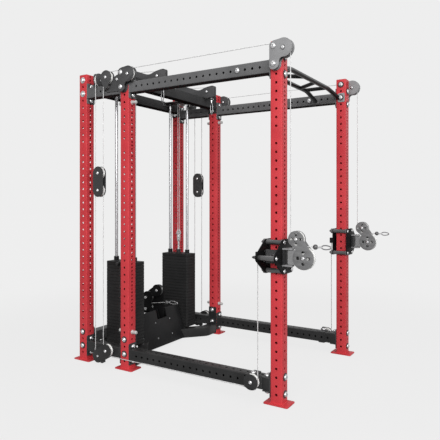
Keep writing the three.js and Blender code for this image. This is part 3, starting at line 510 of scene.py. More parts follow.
# one mesh in the making
class Shape:
    def __init__(self, name):
        self.name = name
        self.mesh = bmesh.new()
        self.paint = []

    def finishFaces(self, faces, material, turn=True):
        if turn:
            bmesh.ops.recalc_face_normals(self.mesh, faces=faces)
        if material not in self.paint:
            self.paint.append(material)
        for face in faces:
            face.material_index = self.paint.index(material)
            face.smooth = True

    def loft(self, rings, material, ends=True, closed=False):
        # rings of equal length, each a list of places; a ring of one place is a tip
        made = [[self.mesh.verts.new(p) for p in ring] for ring in rings]
        faces = []
        for low, high in zip(made, made[1:] + made[:1] if closed else made[1:]):
            count = max(len(low), len(high))
            for i in range(count):
                j = (i + 1) % count
                corners = [low[i % len(low)], low[j % len(low)], high[j % len(high)], high[i % len(high)]]
                corners = list(dict.fromkeys(corners))
                if len(corners) > 2:
                    faces.append(self.mesh.faces.new(corners))
        if ends and not closed:
            faces += [self.mesh.faces.new(ring) for ring in (made[0], made[-1]) if len(ring) > 2]
        self.finishFaces(faces, material)

    def plate(self, outline, axis, a, b, material, holes=(), edge=0.8, steps=1):
        # outline across the axis; holes are circles (u, v, radius) or loops
        loops = [ccw(outline)] + [ccw(h) if isinstance(h, list) else circle(*h) for h in holes]
        low, high = min(a, b), max(a, b)
        edge = min(edge, (high - low) * 0.45)
        bends = [math.radians(90 * i / steps) for i in range(steps + 1)]
        levels = [(low + edge * (1 - math.cos(t)), edge * (1 - math.sin(t))) for t in bends]
        levels += [(high - edge * (1 - math.cos(t)), edge * (1 - math.sin(t))) for t in reversed(bends)]
        signs = [1] + [-1] * (len(loops) - 1)
        rings, faces = [], []
        for sign, loop in zip(signs, loops):
            shapes = [(w, inset(loop, sign * cut)) for w, cut in levels]
            spots = [[place(*spotOn(axis, u, v, w)) for u, v in shape] for w, shape in shapes]
            rings.append([[self.mesh.verts.new(p) for p in level] for level in spots])
            for lower, upper in zip(rings[-1], rings[-1][1:]):
                for i in range(len(loop)):
                    j = (i + 1) % len(loop)
                    faces.append(self.mesh.faces.new((lower[i], lower[j], upper[j], upper[i])))
        cut = levels[0][1]
        flat = [[Vector((*p, 0)) for p in inset(loop, sign * cut)] for sign, loop in zip(signs, loops)]
        for level in (0, -1):
            corners = [v for ring in rings for v in ring[level]]
            for triangle in tessellate_polygon(flat):
                picked = [corners[i] for i in triangle]
                if len(set(picked)) == 3 and not self.mesh.faces.get(picked):
                    faces.append(self.mesh.faces.new(picked))
        self.finishFaces(faces, material)

    def sheet(self, outline, axis, at, thick, material, **rest):
        self.plate(outline, axis, at, at + thick, material, **{"edge": 0.8, "steps": 2, **rest})

    def block(self, a, b, material, edge=0.8, steps=1):
        outline = rectangle(min(a[0], b[0]), min(a[1], b[1]), max(a[0], b[0]), max(a[1], b[1]))
        self.plate(rounded(outline, edge, 2), "z", a[2], b[2], material, edge=edge, steps=steps)

    def lathe(self, profile, start, along, material, count=28, closed=False):
        # profile of (radius, distance along) turned about a line from start
        along = Vector(along).normalized()
        across = Vector(alongZ).cross(along) if abs(along.z) < 0.9 else Vector(alongX)
        across.normalize()
        other = along.cross(across)
        rings = []
        for radius, reach in profile:
            middle = Vector(start) + along * reach
            spots = roundAt(middle, across, other, radius, count) if radius >= 0.01 else [middle]
            rings.append([place(*p) for p in spots])
        self.loft(rings, material, ends=not closed and len(rings[0]) > 1, closed=closed)

    def rod(self, radius, start, end, material="zincPlate", edge=0.8, count=24):
        along = Vector(end) - Vector(start)
        long = along.length
        edge = min(edge, radius * 0.5, long * 0.3)
        flat = radius - edge
        profile = [(0, 0), (flat, 0), (radius, edge), (radius, long - edge), (flat, long), (0, long)]
        self.lathe(profile, start, along, material, count)

    def bar(self, axis, radius, a, b, u, v, *rest, **more):
        # a rod from a to b along an axis
        self.rod(radius, spotOn(axis, u, v, a), spotOn(axis, u, v, b), *rest, **more)

    def hose(self, points, radius, material, count=10):
        points = [place(*p) for p in points]
        rings, normal = [], None
        for i, point in enumerate(points):
            tangent = (points[min(i + 1, len(points) - 1)] - points[max(i - 1, 0)]).normalized()
            if normal is None:
                normal = tangent.orthogonal()
            normal = (normal - tangent * normal.dot(tangent)).normalized()
            rings.append(roundAt(point, normal, tangent.cross(normal), radius / 1000, count))
        self.loft(rings, material)

    def ring(self, points, radius, material, count=10):
        # a closed wire
        points = [place(*p) for p in points]
        middle = sum(points, Vector()) / len(points)
        rings = []
        for i, point in enumerate(points):
            tangent = (points[(i + 1) % len(points)] - points[i - 1]).normalized()
            normal = point - middle
            normal = (normal - tangent * normal.dot(tangent)).normalized()
            rings.append(roundAt(point, normal, tangent.cross(normal), radius / 1000, count))
        self.loft(rings, material, closed=True)

    def ball(self, centre, radius, material, count=24):
        angles = [math.tau * i / count for i in range(count // 2 + 1)]
        profile = [(radius * math.sin(t), radius * (1 - math.cos(t))) for t in angles]
        self.lathe(profile, Vector(centre) - Vector((0, 0, radius)), alongZ, material, count)

    def take(self, mesh, material):
        before = len(self.mesh.faces)
        self.mesh.from_mesh(mesh)
        self.mesh.faces.ensure_lookup_table()
        self.finishFaces(self.mesh.faces[before:], material, turn=False)
        bpy.data.meshes.remove(mesh)

    def plain(self):
        mesh = bpy.data.meshes.new(self.name)
        self.mesh.to_mesh(mesh)
        self.mesh.free()
        return mesh

    def done(self, body, replaced=(), slot=None, sharp=32):
        mesh = self.plain()
        for material in self.paint:
            mesh.materials.append(paints[material])
        mesh.set_sharp_from_angle(angle=math.radians(sharp))
        piece = linked(self.name, mesh)
        if isinstance(body, tuple):
            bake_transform(piece)
        else:
            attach(piece, body)
        if replaced:
            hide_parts(*replaced)


# Geometry Nodes: rows of equal cells, and parts set on points
weldGap = 0.00002


def growTree(name, inputs, build):
    # build gives the instances; they are made real, welded where asked and given their material
    kinds = [("Geometry", "Geometry"), *inputs, ("Material", "Material")]
    sockets = [(label, kind, None) for label, kind in kinds]
    tree, source = newTree(name, "GeometryNodeTree", sockets, [("Geometry", "Geometry")])
    points, part, rest, weld = build(tree, source)
    stamps = add(tree, "GeometryNodeInstanceOnPoints", {"Points": points, "Instance": part, **rest})
    made = add(tree, "GeometryNodeRealizeInstances", {"Geometry": stamps.outputs["Instances"]})
    if weld:
        inputs = {"Geometry": made.outputs["Geometry"], "Distance": weldGap}
        made = add(tree, "GeometryNodeMergeByDistance", inputs)
    inputs = {"Geometry": made.outputs["Geometry"], "Material": source["Material"]}
    dress = add(tree, "GeometryNodeSetMaterial", inputs)
    add(tree, "NodeGroupOutput", {"Geometry": dress.outputs["Geometry"]})
    return tree


def objectIn(tree, socket):
    return add(tree, "GeometryNodeObjectInfo", {"Object": socket}).outputs["Geometry"]


def cellSpots(tree, source):
    inputs = {"Count": source["Count"], "Start Location": source["Start"], "Offset": source["Step"]}
    return add(tree, "GeometryNodeMeshLine", inputs).outputs["Mesh"], objectIn(tree, source["Cell"]), {}, True


def fastenerSpots(tree, source):
    turn = add(tree, "GeometryNodeInputNamedAttribute", {"Name": "turn"}, data_type="FLOAT_VECTOR")
    return source["Geometry"], objectIn(tree, source["Part"]), {"Rotation": turn.outputs["Attribute"]}, False


rowInputs = [("Cell", "Object"), ("Count", "Int"), ("Start", "Vector"), ("Step", "Vector")]
cellRow = growTree("cellRow", rowInputs, cellSpots)
fasteners = growTree("fasteners", [("Part", "Object")], fastenerSpots)


def grow(tree, carrier, values):
    # runs a tree on a carrier object and returns the plain mesh it makes
    modifier = carrier.modifiers.new("grow", "NODES")
    modifier.node_group = tree
    names = {item.name: item.identifier for item in tree.interface.items_tree if item.in_out == "INPUT"}
    for label, value in values.items():
        modifier[names[label]] = value
    bpy.context.view_layer.update()
    graph = bpy.context.evaluated_depsgraph_get()
    mesh = bpy.data.meshes.new_from_object(carrier.evaluated_get(graph))
    carrier.modifiers.remove(modifier)
    bpy.data.objects.remove(carrier)
    return mesh


def seed(shape):
    # a loose part for a tree to repeat, kept out of the finished scene
    return linked(shape.name, shape.plain())


def fastenRow(name, part, spots, material, body, slot="zinc_steel"):
    # spots are (x, y, z, direction)
    mesh = bpy.data.meshes.new(name)
    mesh.from_pydata([place(*spot[:3]) for spot in spots], [], [])
    turn = mesh.attributes.new("turn", "FLOAT_VECTOR", "POINT")
    for i, spot in enumerate(spots):
        turn.data[i].vector = Vector(alongZ).rotation_difference(Vector(spot[3])).to_euler()
    shape = Shape(name)
    shape.take(grow(fasteners, linked(name, mesh), {"Part": part, "Material": paints[material]}), material)
    shape.done(body, slot=slot)


def addRow(shape, cell, count, start, step, material):
    # repeats a cell up from start
    part = seed(cell)
    carrier = linked(shape.name, bpy.data.meshes.new(shape.name))
    values = {
        "Cell": part, "Count": count, "Start": Vector(start) / 1000, "Step": Vector((0, 0, step)) / 1000,
        "Material": paints[material],
    }
    shape.take(grow(cellRow, carrier, values), material)
    bpy.data.objects.remove(part)


# perforated square tube
tubeSpec = {"holeSides": 12, "cornerSteps": 3, "leastBend": 0.5}


def tubeCell(long, onX=(), onY=()):
    # a length of square tube along z from 0, with holes through both walls at the heights given
    shape, welded = Shape("tubeCell"), {}

    def vertex(p):
        key = tuple(round(v, 3) for v in p)
        if key not in welded:
            welded[key] = shape.mesh.verts.new(Vector(p) / 1000)
        return welded[key]

    def face(points, flip):
        corners = list(dict.fromkeys(vertex(p) for p in (reversed(points) if flip else points)))
        if len(corners) > 2 and not shape.mesh.faces.get(corners):
            shape.mesh.faces.new(corners)

    def skin(reach, bend, inside):
        flat, steps = reach - bend, tubeSpec["cornerSteps"]
        for turn in range(4):
            c, s = math.cos(turn * math.pi / 2), math.sin(turn * math.pi / 2)

            def spot(u, z, out=reach):
                # u runs across a wall, seen from outside, from left to right
                return (c * out - s * u, s * out + c * u, z)

            loops = [rectangle(-flat, 0, flat, long)]
            loops += [circle(0, h, cage["holeRadius"], tubeSpec["holeSides"]) for h in (onY if turn % 2 else onX)]
            corners = [p for loop in loops for p in loop]
            for triangle in tessellate_polygon([[Vector((*p, 0)) for p in loop] for loop in loops]):
                points = ccw([corners[i] for i in triangle])
                face([spot(*p) for p in points], inside)
            for i in range(steps):
                bends = (math.radians(90 * k / steps) for k in (i, i + 1))
                (ua, oa), (ub, ob) = ((flat + bend * math.sin(t), flat + bend * math.cos(t)) for t in bends)
                face([spot(ua, 0, oa), spot(ub, 0, ob), spot(ub, long, ob), spot(ua, long, oa)], inside)
            for loop in loops[1:] if inside else ():
                for (u, z), (v, w) in zip(loop, loop[1:] + loop[:1]):
                    face([spot(u, z), spot(v, w), spot(v, w, half), spot(u, z, half)], False)

    skin(half, cage["corner"], False)
    skin(half - cage["wall"], max(cage["corner"] - cage["wall"], tubeSpec["leastBend"]), True)
    return shape


def weldedMesh(shape):
    bmesh.ops.remove_doubles(shape.mesh, verts=shape.mesh.verts, dist=weldGap)
    return shape.plain()


def turned(mesh, axis, offset):
    # lays a tube that was made along z on another axis and moves it to its place
    for vertex in mesh.vertices:
        x, y, z = vertex.co * 1000
        x, y, z = (y, z, x) if axis == "y" else (x, y, z)
        vertex.co = place(x + offset[0], y + offset[1], z + offset[2])
    return mesh


# shared hardware
bolt = {"dome": 17.0, "rise": 9.5, "socket": 5.6, "depth": 4.5, "collar": 1.2}
smallBolt = {"dome": 11.5, "rise": 6.4, "socket": 4.2, "depth": 3.4, "collar": 0.8}
# wide washers, so the black ones show a dark ring round each dome: partly real washers, partly painted shadow
washer = {"radius": 23.5, "bore": 6.0, "thick": 4.2}
smallWasher = {"radius": 13.5, "bore": 4.0, "thick": 1.6}
screw = {"dome": 6.0, "rise": 2.6, "socket": 2.2, "depth": 1.6, "collar": 0.5}
headSpec = {"count": 20, "steps": 6, "screwLift": 0.6}
loose = (0, -frontRow * 1000, 0)


def domeBolt(name, lift, dome, rise, socket, depth, collar):
    # stands on the xy plane with its head up; a tree turns it where it is needed
    shape = Shape(name)
    top = lift + collar + rise
    head = [(r, lift + collar + rise / dome * z) for r, z in arc((0, 0), dome, 0, 90, headSpec["steps"])]
    head = [p for p in head if p[0] > socket + 1.2]
    profile = [(0, lift - 0.6), (dome - 0.6, lift - 0.6), (dome, lift)] + head
    profile += [(socket + 0.8, top), (socket, top - 0.6), (socket * 0.92, top - depth), (0, top - depth)]
    shape.lathe(profile, loose, alongZ, "zincPlate", headSpec["count"])
    return seed(shape)


def flatWasher(name, radius, bore, thick):
    shape = Shape(name)
    profile = [(bore, 0), (radius, 0), (radius, thick * 0.7), (radius - thick * 0.3, thick), (bore, thick)]
    shape.lathe(profile, loose, alongZ, "blackCoat", headSpec["count"], closed=True)
    return seed(shape)


bigHead = domeBolt("bigHead", washer["thick"], **bolt)
smallHead = domeBolt("smallHead", smallWasher["thick"], **smallBolt)
bigWasher = flatWasher("bigWasher", **washer)
littleWasher = flatWasher("littleWasher", **smallWasher)
screwHead = domeBolt("screwHead", headSpec["screwLift"], **screw)

sheaveSpec = {
    "bore": 8.3, "hub": 14.0, "width": 20.0, "slim": 14.0, "recess": 3.0, "deepRecess": 8.0, "count": 40,
}
slim = sheaveSpec["slim"]
axleRadius = 8.0


def addSheave(
    shape, centre, along=alongX, groove=line, rim=cage["rim"], width=sheaveSpec["width"],
    material="whiteNylon", recess=sheaveSpec["recess"],
):
    # grooved pulley; a web between hub and rim on both faces
    bore, hub, count = sheaveSpec["bore"], sheaveSpec["hub"], sheaveSpec["count"]
    w, floor, web = width / 2, groove - 3.6, width / 2 - recess
    face = [
        (bore, w - 0.5), (hub, w - 0.5), (hub + 1.5, web), (floor - 7, web), (floor - 5, w), (rim - 1.2, w),
        (rim, w - 1), (rim - 0.4, w - 2), (floor + 1.4, 2.6), (floor, 1.2),
    ]
    shape.lathe([(r, -at) for r, at in face] + face[::-1], centre, along, material, count, closed=True)
    if recess == sheaveSpec["deepRecess"]:
        # a dark ring on the deep part of the web: painted shade in the recess
        inner, outer, out = floor * 0.5, floor - 7.6, web + 0.4
        ring = [(inner, -out), (outer, -out), (outer, out), (inner, out)]
        shape.lathe(ring, centre, along, "darkNylon", count, closed=True)


# uprights
uprightSpec = {
    "foot": (112.0, 158.0, 8.0),
    "footCorner": 12.0,
    "denseFrom": 7,
    "bareHole": 30,
    "holes": 41,
    "cap": 3.4,
    "weld": 4.0,
    "peg": 12.0,
    "pegFlange": 15.0,
    "pegHoles": (4, 36),
    "pegReach": 42.0,
}


def uprightTube():
    spec = uprightSpec
    lower, first = spec["foot"][2], cage["firstHole"] - pitch / 4
    low, high = pitch / 4, pitch * 3 / 4
    bare = spec["bareHole"]
    tube = Shape("uprightTube")
    addRow(tube, tubeCell(first - lower), 1, (0, 0, lower), 1, "redCoat")
    for start, end, onX, onY in (
        (0, spec["denseFrom"], [low], [low]),
        (spec["denseFrom"], bare, [low], [low, high]),
        (bare, bare + 1, [], [low, high]),
        (bare + 1, spec["holes"], [low], [low, high]),
    ):
        addRow(tube, tubeCell(pitch, onX, onY), end - start, (0, 0, first + pitch * start), pitch, "redCoat")
    return weldedMesh(tube)


def addUpright(tube, row, label, s):
    spec = uprightSpec
    x, y = s * cage["halfWidth"], rows[row]
    wide, long, thick = spec["foot"]
    weld, bead, cap = spec["weld"], cage["tube"] + 2 * spec["weld"], cage["tube"] - 0.8
    shape = Shape(f"upright_{row}_{label}")
    shape.take(turned(tube.copy(), "z", (x, y, 0)), "redCoat")
    shape.plate(pad(x, y, wide, long, spec["footCorner"], 6), "z", 0, thick, "redCoat", edge=1.2, steps=2)
    shape.plate(pad(x, y, bead, bead, 9), "z", thick - 0.5, thick + weld, "redCoat", edge=weld * 0.9, steps=3)
    top = cage["height"]
    shape.plate(pad(x, y, cap, cap, 5.2), "z", top - spec["cap"], top, "redCoat", edge=1.4, steps=2)
    if row == "mid":
        for z in map(holeZ, spec["pegHoles"]):
            for side in both:
                start, end = y + side * (half - 4), y + side * (half + spec["pegReach"] - 0.5)
                shape.bar("y", spec["peg"], start, end, x, z, "pegNylon", edge=3.5)
                start, end = y + side * half, y + side * (half + 5)
                shape.bar("y", spec["pegFlange"], start, end, x, z, "pegNylon", edge=1.2)
    shape.done("frame", [f"{row}_upright_{label}"], "red_powder_coat")


redTube = uprightTube()
for label, s in sides.items():
    for row in rows:
        addUpright(redTube, row, label, s)
print("uprights ready")


# beams along the sides, with their pulley brackets
beamSpec = {
    "topHole": 38, "lowHole": 1, "plateHeight": 150.0, "plateThick": 6.0, "gap": 0.3, "plateCorner": 7.0,
}
beamHoles = {"long": 20, "short": 4}
weldSpec = {"reach": 3.0, "rise": 3.2, "edge": 2.8}
plateThick, gap = beamSpec["plateThick"], beamSpec["gap"]
topBeamZ, lowBeamZ = holeZ(beamSpec["topHole"]), holeZ(beamSpec["lowHole"])
topCrossZ, lowCrossZ = holeZ(beamSpec["topHole"] + 1), holeZ(beamSpec["lowHole"] + 1)
axleAhead = 61.0
topAxleZ, lowAxleZ = 2075.0, 118.0
rearAxleY = rows["mid"] + 145
floatY = rearAxleY + 2 * line
floatZ = (1268.0, 1392.0)
deadZ = lowAxleZ - 48
diverterX, diverterY = planeX - line, floatY + line
cheekNear, cheekThick = outerFace + gap, 6.0
cheekFar = 2 * planeX - cheekNear - cheekThick
cheekEnd = cheekFar + cheekThick
seat = outerFace - 0.4
rearTop = {"round": 50.0, "foot": 34.0, "footUp": 18.0, "disc": 20.0, "discUp": 22.0, "spacer": 12.0}
diverter = {"near": 45.0, "far": 47.0, "up": 48.0, "clear": 3.0, "thick": 5.0, "axle": 17.0}
lowRear = {
    "round": 49.0, "deadRound": 47.0, "clamp": 5.5, "clampUp": (22, 52), "stop": (-42, -24), "stopHalf": 7.5,
}
lowFront = {
    "y": 150.0, "round": 47.0, "rear": 46.0, "ahead": 60.0, "saddles": (10, -84), "saddleHalf": 24.0,
    "pin": 6.0,
}
lowFrontY = lowFront["y"]
saddles = [lowFrontY + y for y in lowFront["saddles"]]


def endPlate(shape, axis, near, far, across, z, material):
    # flat plate on an upright's face, round the end of a beam
    outline = pad(across, z, cage["tube"], beamSpec["plateHeight"], beamSpec["plateCorner"])
    holes = [(across, z + side * pitch, cage["holeRadius"]) for side in both]
    shape.plate(outline, axis, near, far, material, holes=holes, edge=0.7)


def weldBead(shape, axis, at, towards, across, z, material):
    wide = cage["tube"] + 2 * weldSpec["reach"]
    outline = pad(across, z, wide, wide, 8, 3)
    shape.plate(outline, axis, at, at + towards * weldSpec["rise"], material, edge=weldSpec["edge"], steps=2)


def beamMesh(long, holes, material):
    # square tube with one hole through each wall at every pitch, centred
    lead = (long - pitch * holes) / 2
    tube = Shape("beamTube")
    for start in (0, long - lead):
        addRow(tube, tubeCell(lead), 1, (0, 0, start), 1, material)
    addRow(tube, tubeCell(pitch, [pitch / 2], [pitch / 2]), holes, (0, 0, lead), pitch, material)
    return weldedMesh(tube)


def addBeam(name, tube, start, end, s, z, material):
    shape = Shape(name)
    x, low, high = s * cage["halfWidth"], start + half + gap, end - half - gap
    shape.take(turned(tube.copy(), "y", (x, low + plateThick - 0.5, z)), material)
    for at, towards in ((low, 1), (high, -1)):
        endPlate(shape, "y", at, at + towards * plateThick, x, z, material)
        weldBead(shape, "y", at + towards * (plateThick - 0.3), towards, x, z, material)
    return shape


def axle(shape, s, y, z, near):
    shape.bar("x", axleRadius, s * near, s * (cheekEnd + 2), y, z)


def rearTopBracket(shape, s, material):
    spec = rearTop
    footZ = topBeamZ + spec["footUp"]
    body = hull([(rearAxleY, topAxleZ, spec["round"]), (rearAxleY, footZ, spec["foot"])])
    disc = hull([(rearAxleY, topAxleZ, spec["round"]), (rearAxleY, topBeamZ + spec["discUp"], spec["disc"])])
    shape.sheet(body, "x", s * seat, s * cheekThick, material)
    shape.sheet(disc, "x", s * cheekFar, s * cheekThick, material)
    forward = rows["mid"] + half + 1.5
    backing = [
        (forward, topBeamZ - 18), (forward, topAxleZ + 19), (forward + 26, topAxleZ + 14),
        (rearAxleY - 20, topAxleZ - 12), (rearAxleY + 22, topBeamZ - 18),
    ]
    backing = rounded(backing, [6, 14, 30, 20, 16], 5)
    shape.plate(backing, "x", s * (seat + 0.2), s * (seat + 8), material, steps=2)
    axle(shape, s, rearAxleY, topAxleZ, seat + 1)
    shape.bar("x", spec["spacer"], s * (seat + 2), s * (cheekFar + 1), rearAxleY, footZ, material)
    addSheave(shape, (s * planeX, rearAxleY, topAxleZ))
    spec = diverter
    lip, up = topBeamZ + half - 0.5, topAxleZ + spec["up"]
    near, far = diverterX - spec["near"], diverterX + spec["far"]
    corners = [(near, lip), (outerFace, lip), (far, topAxleZ - 20), (far, up), (near, up)]
    outline = rounded([(s * x, z) for x, z in corners], [4, 8, 20, 40, 40], 8)
    for side in both:
        at = diverterY + side * (slim / 2 + spec["clear"])
        shape.sheet(outline, "y", at, side * spec["thick"], material)
    addSheave(shape, (s * diverterX, diverterY, topAxleZ), alongY, width=slim)
    shape.bar("y", axleRadius, diverterY - spec["axle"], diverterY + spec["axle"], s * diverterX, topAxleZ)


def lowRearBracket(shape, s, material):
    spec = lowRear
    body = hull([(rearAxleY, lowAxleZ, spec["round"]), (floatY, deadZ, spec["deadRound"])])
    for at in (seat, cheekFar):
        shape.sheet(body, "x", s * at, s * cheekThick, material)
    for y, z in ((rearAxleY, lowAxleZ), (floatY, deadZ)):
        axle(shape, s, y, z, seat + 1)
        addSheave(shape, (s * planeX, y, z))
    low, high = (deadZ + up for up in spec["clampUp"])
    shape.bar("z", spec["clamp"], low, high, s * planeX, floatY + line, edge=1.5)
    front, rear = (floatY + y for y in spec["stop"])
    a = (s * (seat + 1), front, deadZ - line - spec["stopHalf"])
    shape.block(a, (s * (cheekFar + 1), rear, deadZ - line + spec["stopHalf"]), material, edge=1.5)


def lowFrontBracket(shape, s, material):
    spec = lowFront
    rear = lowFrontY + spec["rear"]
    inner = rectangle(lowFrontY - spec["ahead"], lowBeamZ - half + 8, rear + 10, lowBeamZ + half - 4)
    shape.sheet(rounded(inner, 12, 5), "x", s * seat, s * cheekThick, material)
    outline = arc((lowFrontY, lowAxleZ), spec["round"], 90, 300, 30)
    outline += [(rear, lowAxleZ - 30), (rear, lowAxleZ + spec["round"])]
    outline = rounded(outline, [0] * 31 + [16, 10], 4)
    shape.sheet(outline, "x", s * cheekFar, s * cheekThick, material)
    for y in saddles:
        for up in both:
            a = (s * innerFace, y - spec["saddleHalf"], lowBeamZ + up * (half - 0.5))
            b = (s * (outerFace + 5), y + spec["saddleHalf"], lowBeamZ + up * (half + 6))
            shape.block(a, b, material, edge=1.2)
    axle(shape, s, lowFrontY, lowAxleZ, seat + 1)
    shape.bar("x", spec["pin"], s * (seat + 1), s * cheekEnd, rear - 8, lowAxleZ + 35, material)


def addBeams():
    inside = cage["tube"] + 2 * (gap + plateThick) - 1
    # the top beams take the black coat made grey, the low beams a less lightened copy: painted light
    for height, z, material in (("top", topBeamZ, "upperCoat"), ("low", lowBeamZ, "lowCoat")):
        frontTube = beamMesh(rows["mid"] - rows["front"] - inside, beamHoles["long"], material)
        rearTube = beamMesh(rows["rear"] - rows["mid"] - inside, beamHoles["short"], material)
        for label, s in sides.items():
            name = f"beam_front_{height}_{label}"
            shape = addBeam(name, frontTube, rows["front"], rows["mid"], s, z, material)
            if height == "low":
                lowFrontBracket(shape, s, material)
            shape.done("frame", [f"front_{height}_beam_{label}"], "black_powder_coat")
            name = f"beam_rear_{height}_{label}"
            shape = addBeam(name, rearTube, rows["mid"], rows["rear"], s, z, material)
            if height == "top":
                # the rear top bracket takes the black coat lightened: painted light
                rearTopBracket(shape, s, "middleCoat")
            else:
                lowRearBracket(shape, s, material)
            shape.done("frame", [f"rear_{height}_beam_{label}"], "black_powder_coat")


addBeams()
print("side beams ready")


# straight crossmembers
def addCrossmember(name, node, y, z, material):
    shape = Shape(name)
    reach, hollow = innerFace - gap, cage["tube"] - 2 * cage["wall"]
    outline = pad(y, z, cage["tube"], cage["tube"], cage["corner"])
    inside = pad(y, z, hollow, hollow, 3, 2)
    shape.plate(outline, "x", -reach + 2, reach - 2, material, holes=[inside], edge=0.2)
    for s in both:
        endPlate(shape, "x", s * reach, s * (reach - plateThick), y, z, material)
        weldBead(shape, "x", s * (reach - plateThick + 0.3), -s, y, z, material)
    shape.done("frame", [node], "black_powder_coat")


addCrossmember("crossmember_rear_top", "rear_top_crossmember", rows["rear"], topCrossZ, "shadeCoat")
addCrossmember("crossmember_mid_top", "mid_top_crossmember", rows["mid"], topCrossZ, "shadeCoat")
addCrossmember("crossmember_rear_low", "rear_low_crossmember", rows["rear"], lowCrossZ, "lowCoat")


# bent low crossmember, foot panel and row housing
bow = {
    "base": 10.0, "bend": (415.0, 240.0), "depth": 154.0, "soften": 36.0, "plateLow": 95.0, "plateUp": 75.0,
}
panel = {
    "low": 16.0, "high": 298.0, "lean": 0.24, "halfLow": 256.0, "halfHigh": 240.0, "notch": 60.0, "notchLow": 224.0,
    "thick": 5.0, "back": 22.0, "gussetAt": 180.0, "gussetHalf": 3.0, "flangeIn": 8.0, "flangeThick": 4.0,
}
housing = {
    "gap": 14.0, "thick": 6.0, "upper": 386.0, "lower": 292.0, "guide": (-100.0, 450.0), "pin": (-56.0, 221.0),
}
bowY = rows["mid"] + bow["depth"]
bowTop = bow["base"] + cage["tube"]
stackY = rows["mid"] + 236
rowY = stackY + 55
rowGuide = (rowY + housing["guide"][0], housing["guide"][1])
rowPin = (rowY + housing["pin"][0], housing["pin"][1])


def lowCrossmember():
    material = "blackCoat"
    shape = Shape("crossmember_mid_low")
    reach, mid = innerFace - gap, rows["mid"]
    outer, inner = bow["bend"]
    right = [(inner, bowY), (outer, mid), (reach - 2, mid)]
    strip = mitred([(-x, y) for x, y in reversed(right)] + right, half)
    radii = [0 if i % 6 in (0, 5) else bow["soften"] for i in range(12)]
    shape.plate(rounded(strip, radii, 6), "z", bow["base"], bowTop, "lowCoat", edge=cage["corner"], steps=4)
    outline = rectangle(mid - half, lowCrossZ - bow["plateLow"], mid + half, lowCrossZ + bow["plateUp"])
    outline = rounded(outline, beamSpec["plateCorner"], 4)
    holes = [(mid, lowCrossZ + side * pitch, cage["holeRadius"]) for side in both]
    for s in both:
        shape.plate(outline, "x", s * reach, s * (reach - plateThick), material, holes=holes, edge=0.7)
        weldBead(shape, "x", s * (reach - plateThick + 0.3), -s, mid, bow["base"] + half, material)
    footPanel(shape, material)
    rowHousing(shape, "deepCoat")
    shape.done("frame", ["mid_low_crossmember"], "black_powder_coat")


def leanY(z):
    return bowY - half - panel["back"] + panel["lean"] * z


def footPanel(shape, material):
    spec = panel
    low, high, notch, notchLow = spec["low"], spec["high"], spec["notch"], spec["notchLow"]
    face = [
        (-spec["halfLow"], low), (spec["halfLow"], low), (spec["halfHigh"], high), (notch, high),
        (notch, notchLow), (-notch, notchLow), (-notch, high), (-spec["halfHigh"], high),
    ]
    start = len(shape.mesh.verts)
    face = rounded(face, [8, 8, 14, 8, 12, 12, 8, 14], 5)
    shape.plate(face, "y", 0, spec["thick"], material, edge=1.2, steps=2)
    shape.mesh.verts.ensure_lookup_table()
    for vertex in shape.mesh.verts[start:]:
        vertex.co.y += leanY(vertex.co.z * 1000) / 1000
    gusset = [(leanY(bowTop) + 3, bowTop - 1), (leanY(high - 30) + 3, high - 30), (bowY + 20, bowTop - 1)]
    # the flanges are turned back along the sides of the panel
    flange = [
        (leanY(low) + 2, low + 6), (leanY(high) + 2, high - 10), (leanY(high) + 22, high - 14),
        (leanY(low + 60) + 26, low + 66), (leanY(low) + 26, low + 6),
    ]
    for s in both:
        x, out = s * spec["gussetAt"], spec["gussetHalf"]
        shape.plate(rounded(gusset, 6, 3), "x", x - out, x + out, material, edge=0.6)
        x = s * (spec["halfHigh"] - spec["flangeIn"])
        shape.plate(rounded(flange, 6, 3), "x", x, x - s * spec["flangeThick"], material, edge=0.6)


def rowHousing(shape, material):
    near, thick = housing["gap"], housing["thick"]
    upper, lower = housing["upper"], housing["lower"]
    guideY, guideZ = rowGuide
    foot = [
        (bowY - 28, bowTop - 1.5), (bowY + half - 3, bowTop - 1.5), (rowY - 20, 262), (rowY - 46, 300),
        (guideY - 6, 300), (guideY - 30, 215),
    ]
    straps = (
        rounded(foot, [4, 4, 40, 30, 20, 20], 6),
        hull([(rowY, upper, 48), (rowY, lower, 46)]),
        hull([(*rowGuide, 48), (guideY + 46, upper + 30, 20)]),
        hull([(guideY + 52, upper + 34, 18), (rowY, upper, 30)]),
        hull([(rowY, lower, 30), (rowY - 46, 262, 24)]),
    )
    solid = [
        (bowY - 28, bowTop - 1.5), (bowY + half - 3, bowTop - 1.5), (rowY - 60, 215), (rowY + 30, lower - 44),
        (rowY + 50, lower), (rowY + 50, upper), (rowY + 20, upper + 46), (guideY + 20, guideZ + 47),
        (guideY - 30, guideZ + 40), (guideY - 49, guideZ), (guideY - 49, 330), (guideY - 38, 215),
    ]
    solid = rounded(solid, [4, 4, 20, 26, 30, 40, 34, 40, 26, 40, 20, 14], 6)
    for side, outlines in ((-1, straps), (1, (solid,))):
        for step, outline in enumerate(outlines):
            # the straps of a cheek lie in one plane, a hair apart so that none hides another
            shape.sheet(outline, "x", side * (near - 0.1 * step), side * (thick + 0.05 * step), material)
    for start, y, z in ((-42, rowY, upper), (-42, rowY, lower), (-24, *rowGuide)):
        shape.bar("x", axleRadius, start, 24, y, z, edge=2)
        addSheave(shape, (0, y, z), material="darkNylon")
    shape.bar("x", 6, -23.5, 23.5, *rowPin)
    stop = rowY + line
    shape.block((-14.5, stop - 8, lower - 44), (14.5, stop + 8, lower - 28), material, edge=1.5)


lowCrossmember()
print("crossmembers ready")


# pull-up bar
pullUp = {
    "radius": 16.0, "rung": 14.0, "z": 2030.0, "front": 35.0, "rear": 205.0, "straight": 330.0, "soften": 46.0,
    "tips": {"front": (20.0, 0.0), "rear": (205.0, -10.0)}, "rungs": ((316, 316), (98, 226)), "counts": (20, 18),
    "flanges": ((-4, 54.2, 70, "greyCoat"), (205.0, 66, 62, "upperCoat")), "flangeCorner": 12,
}


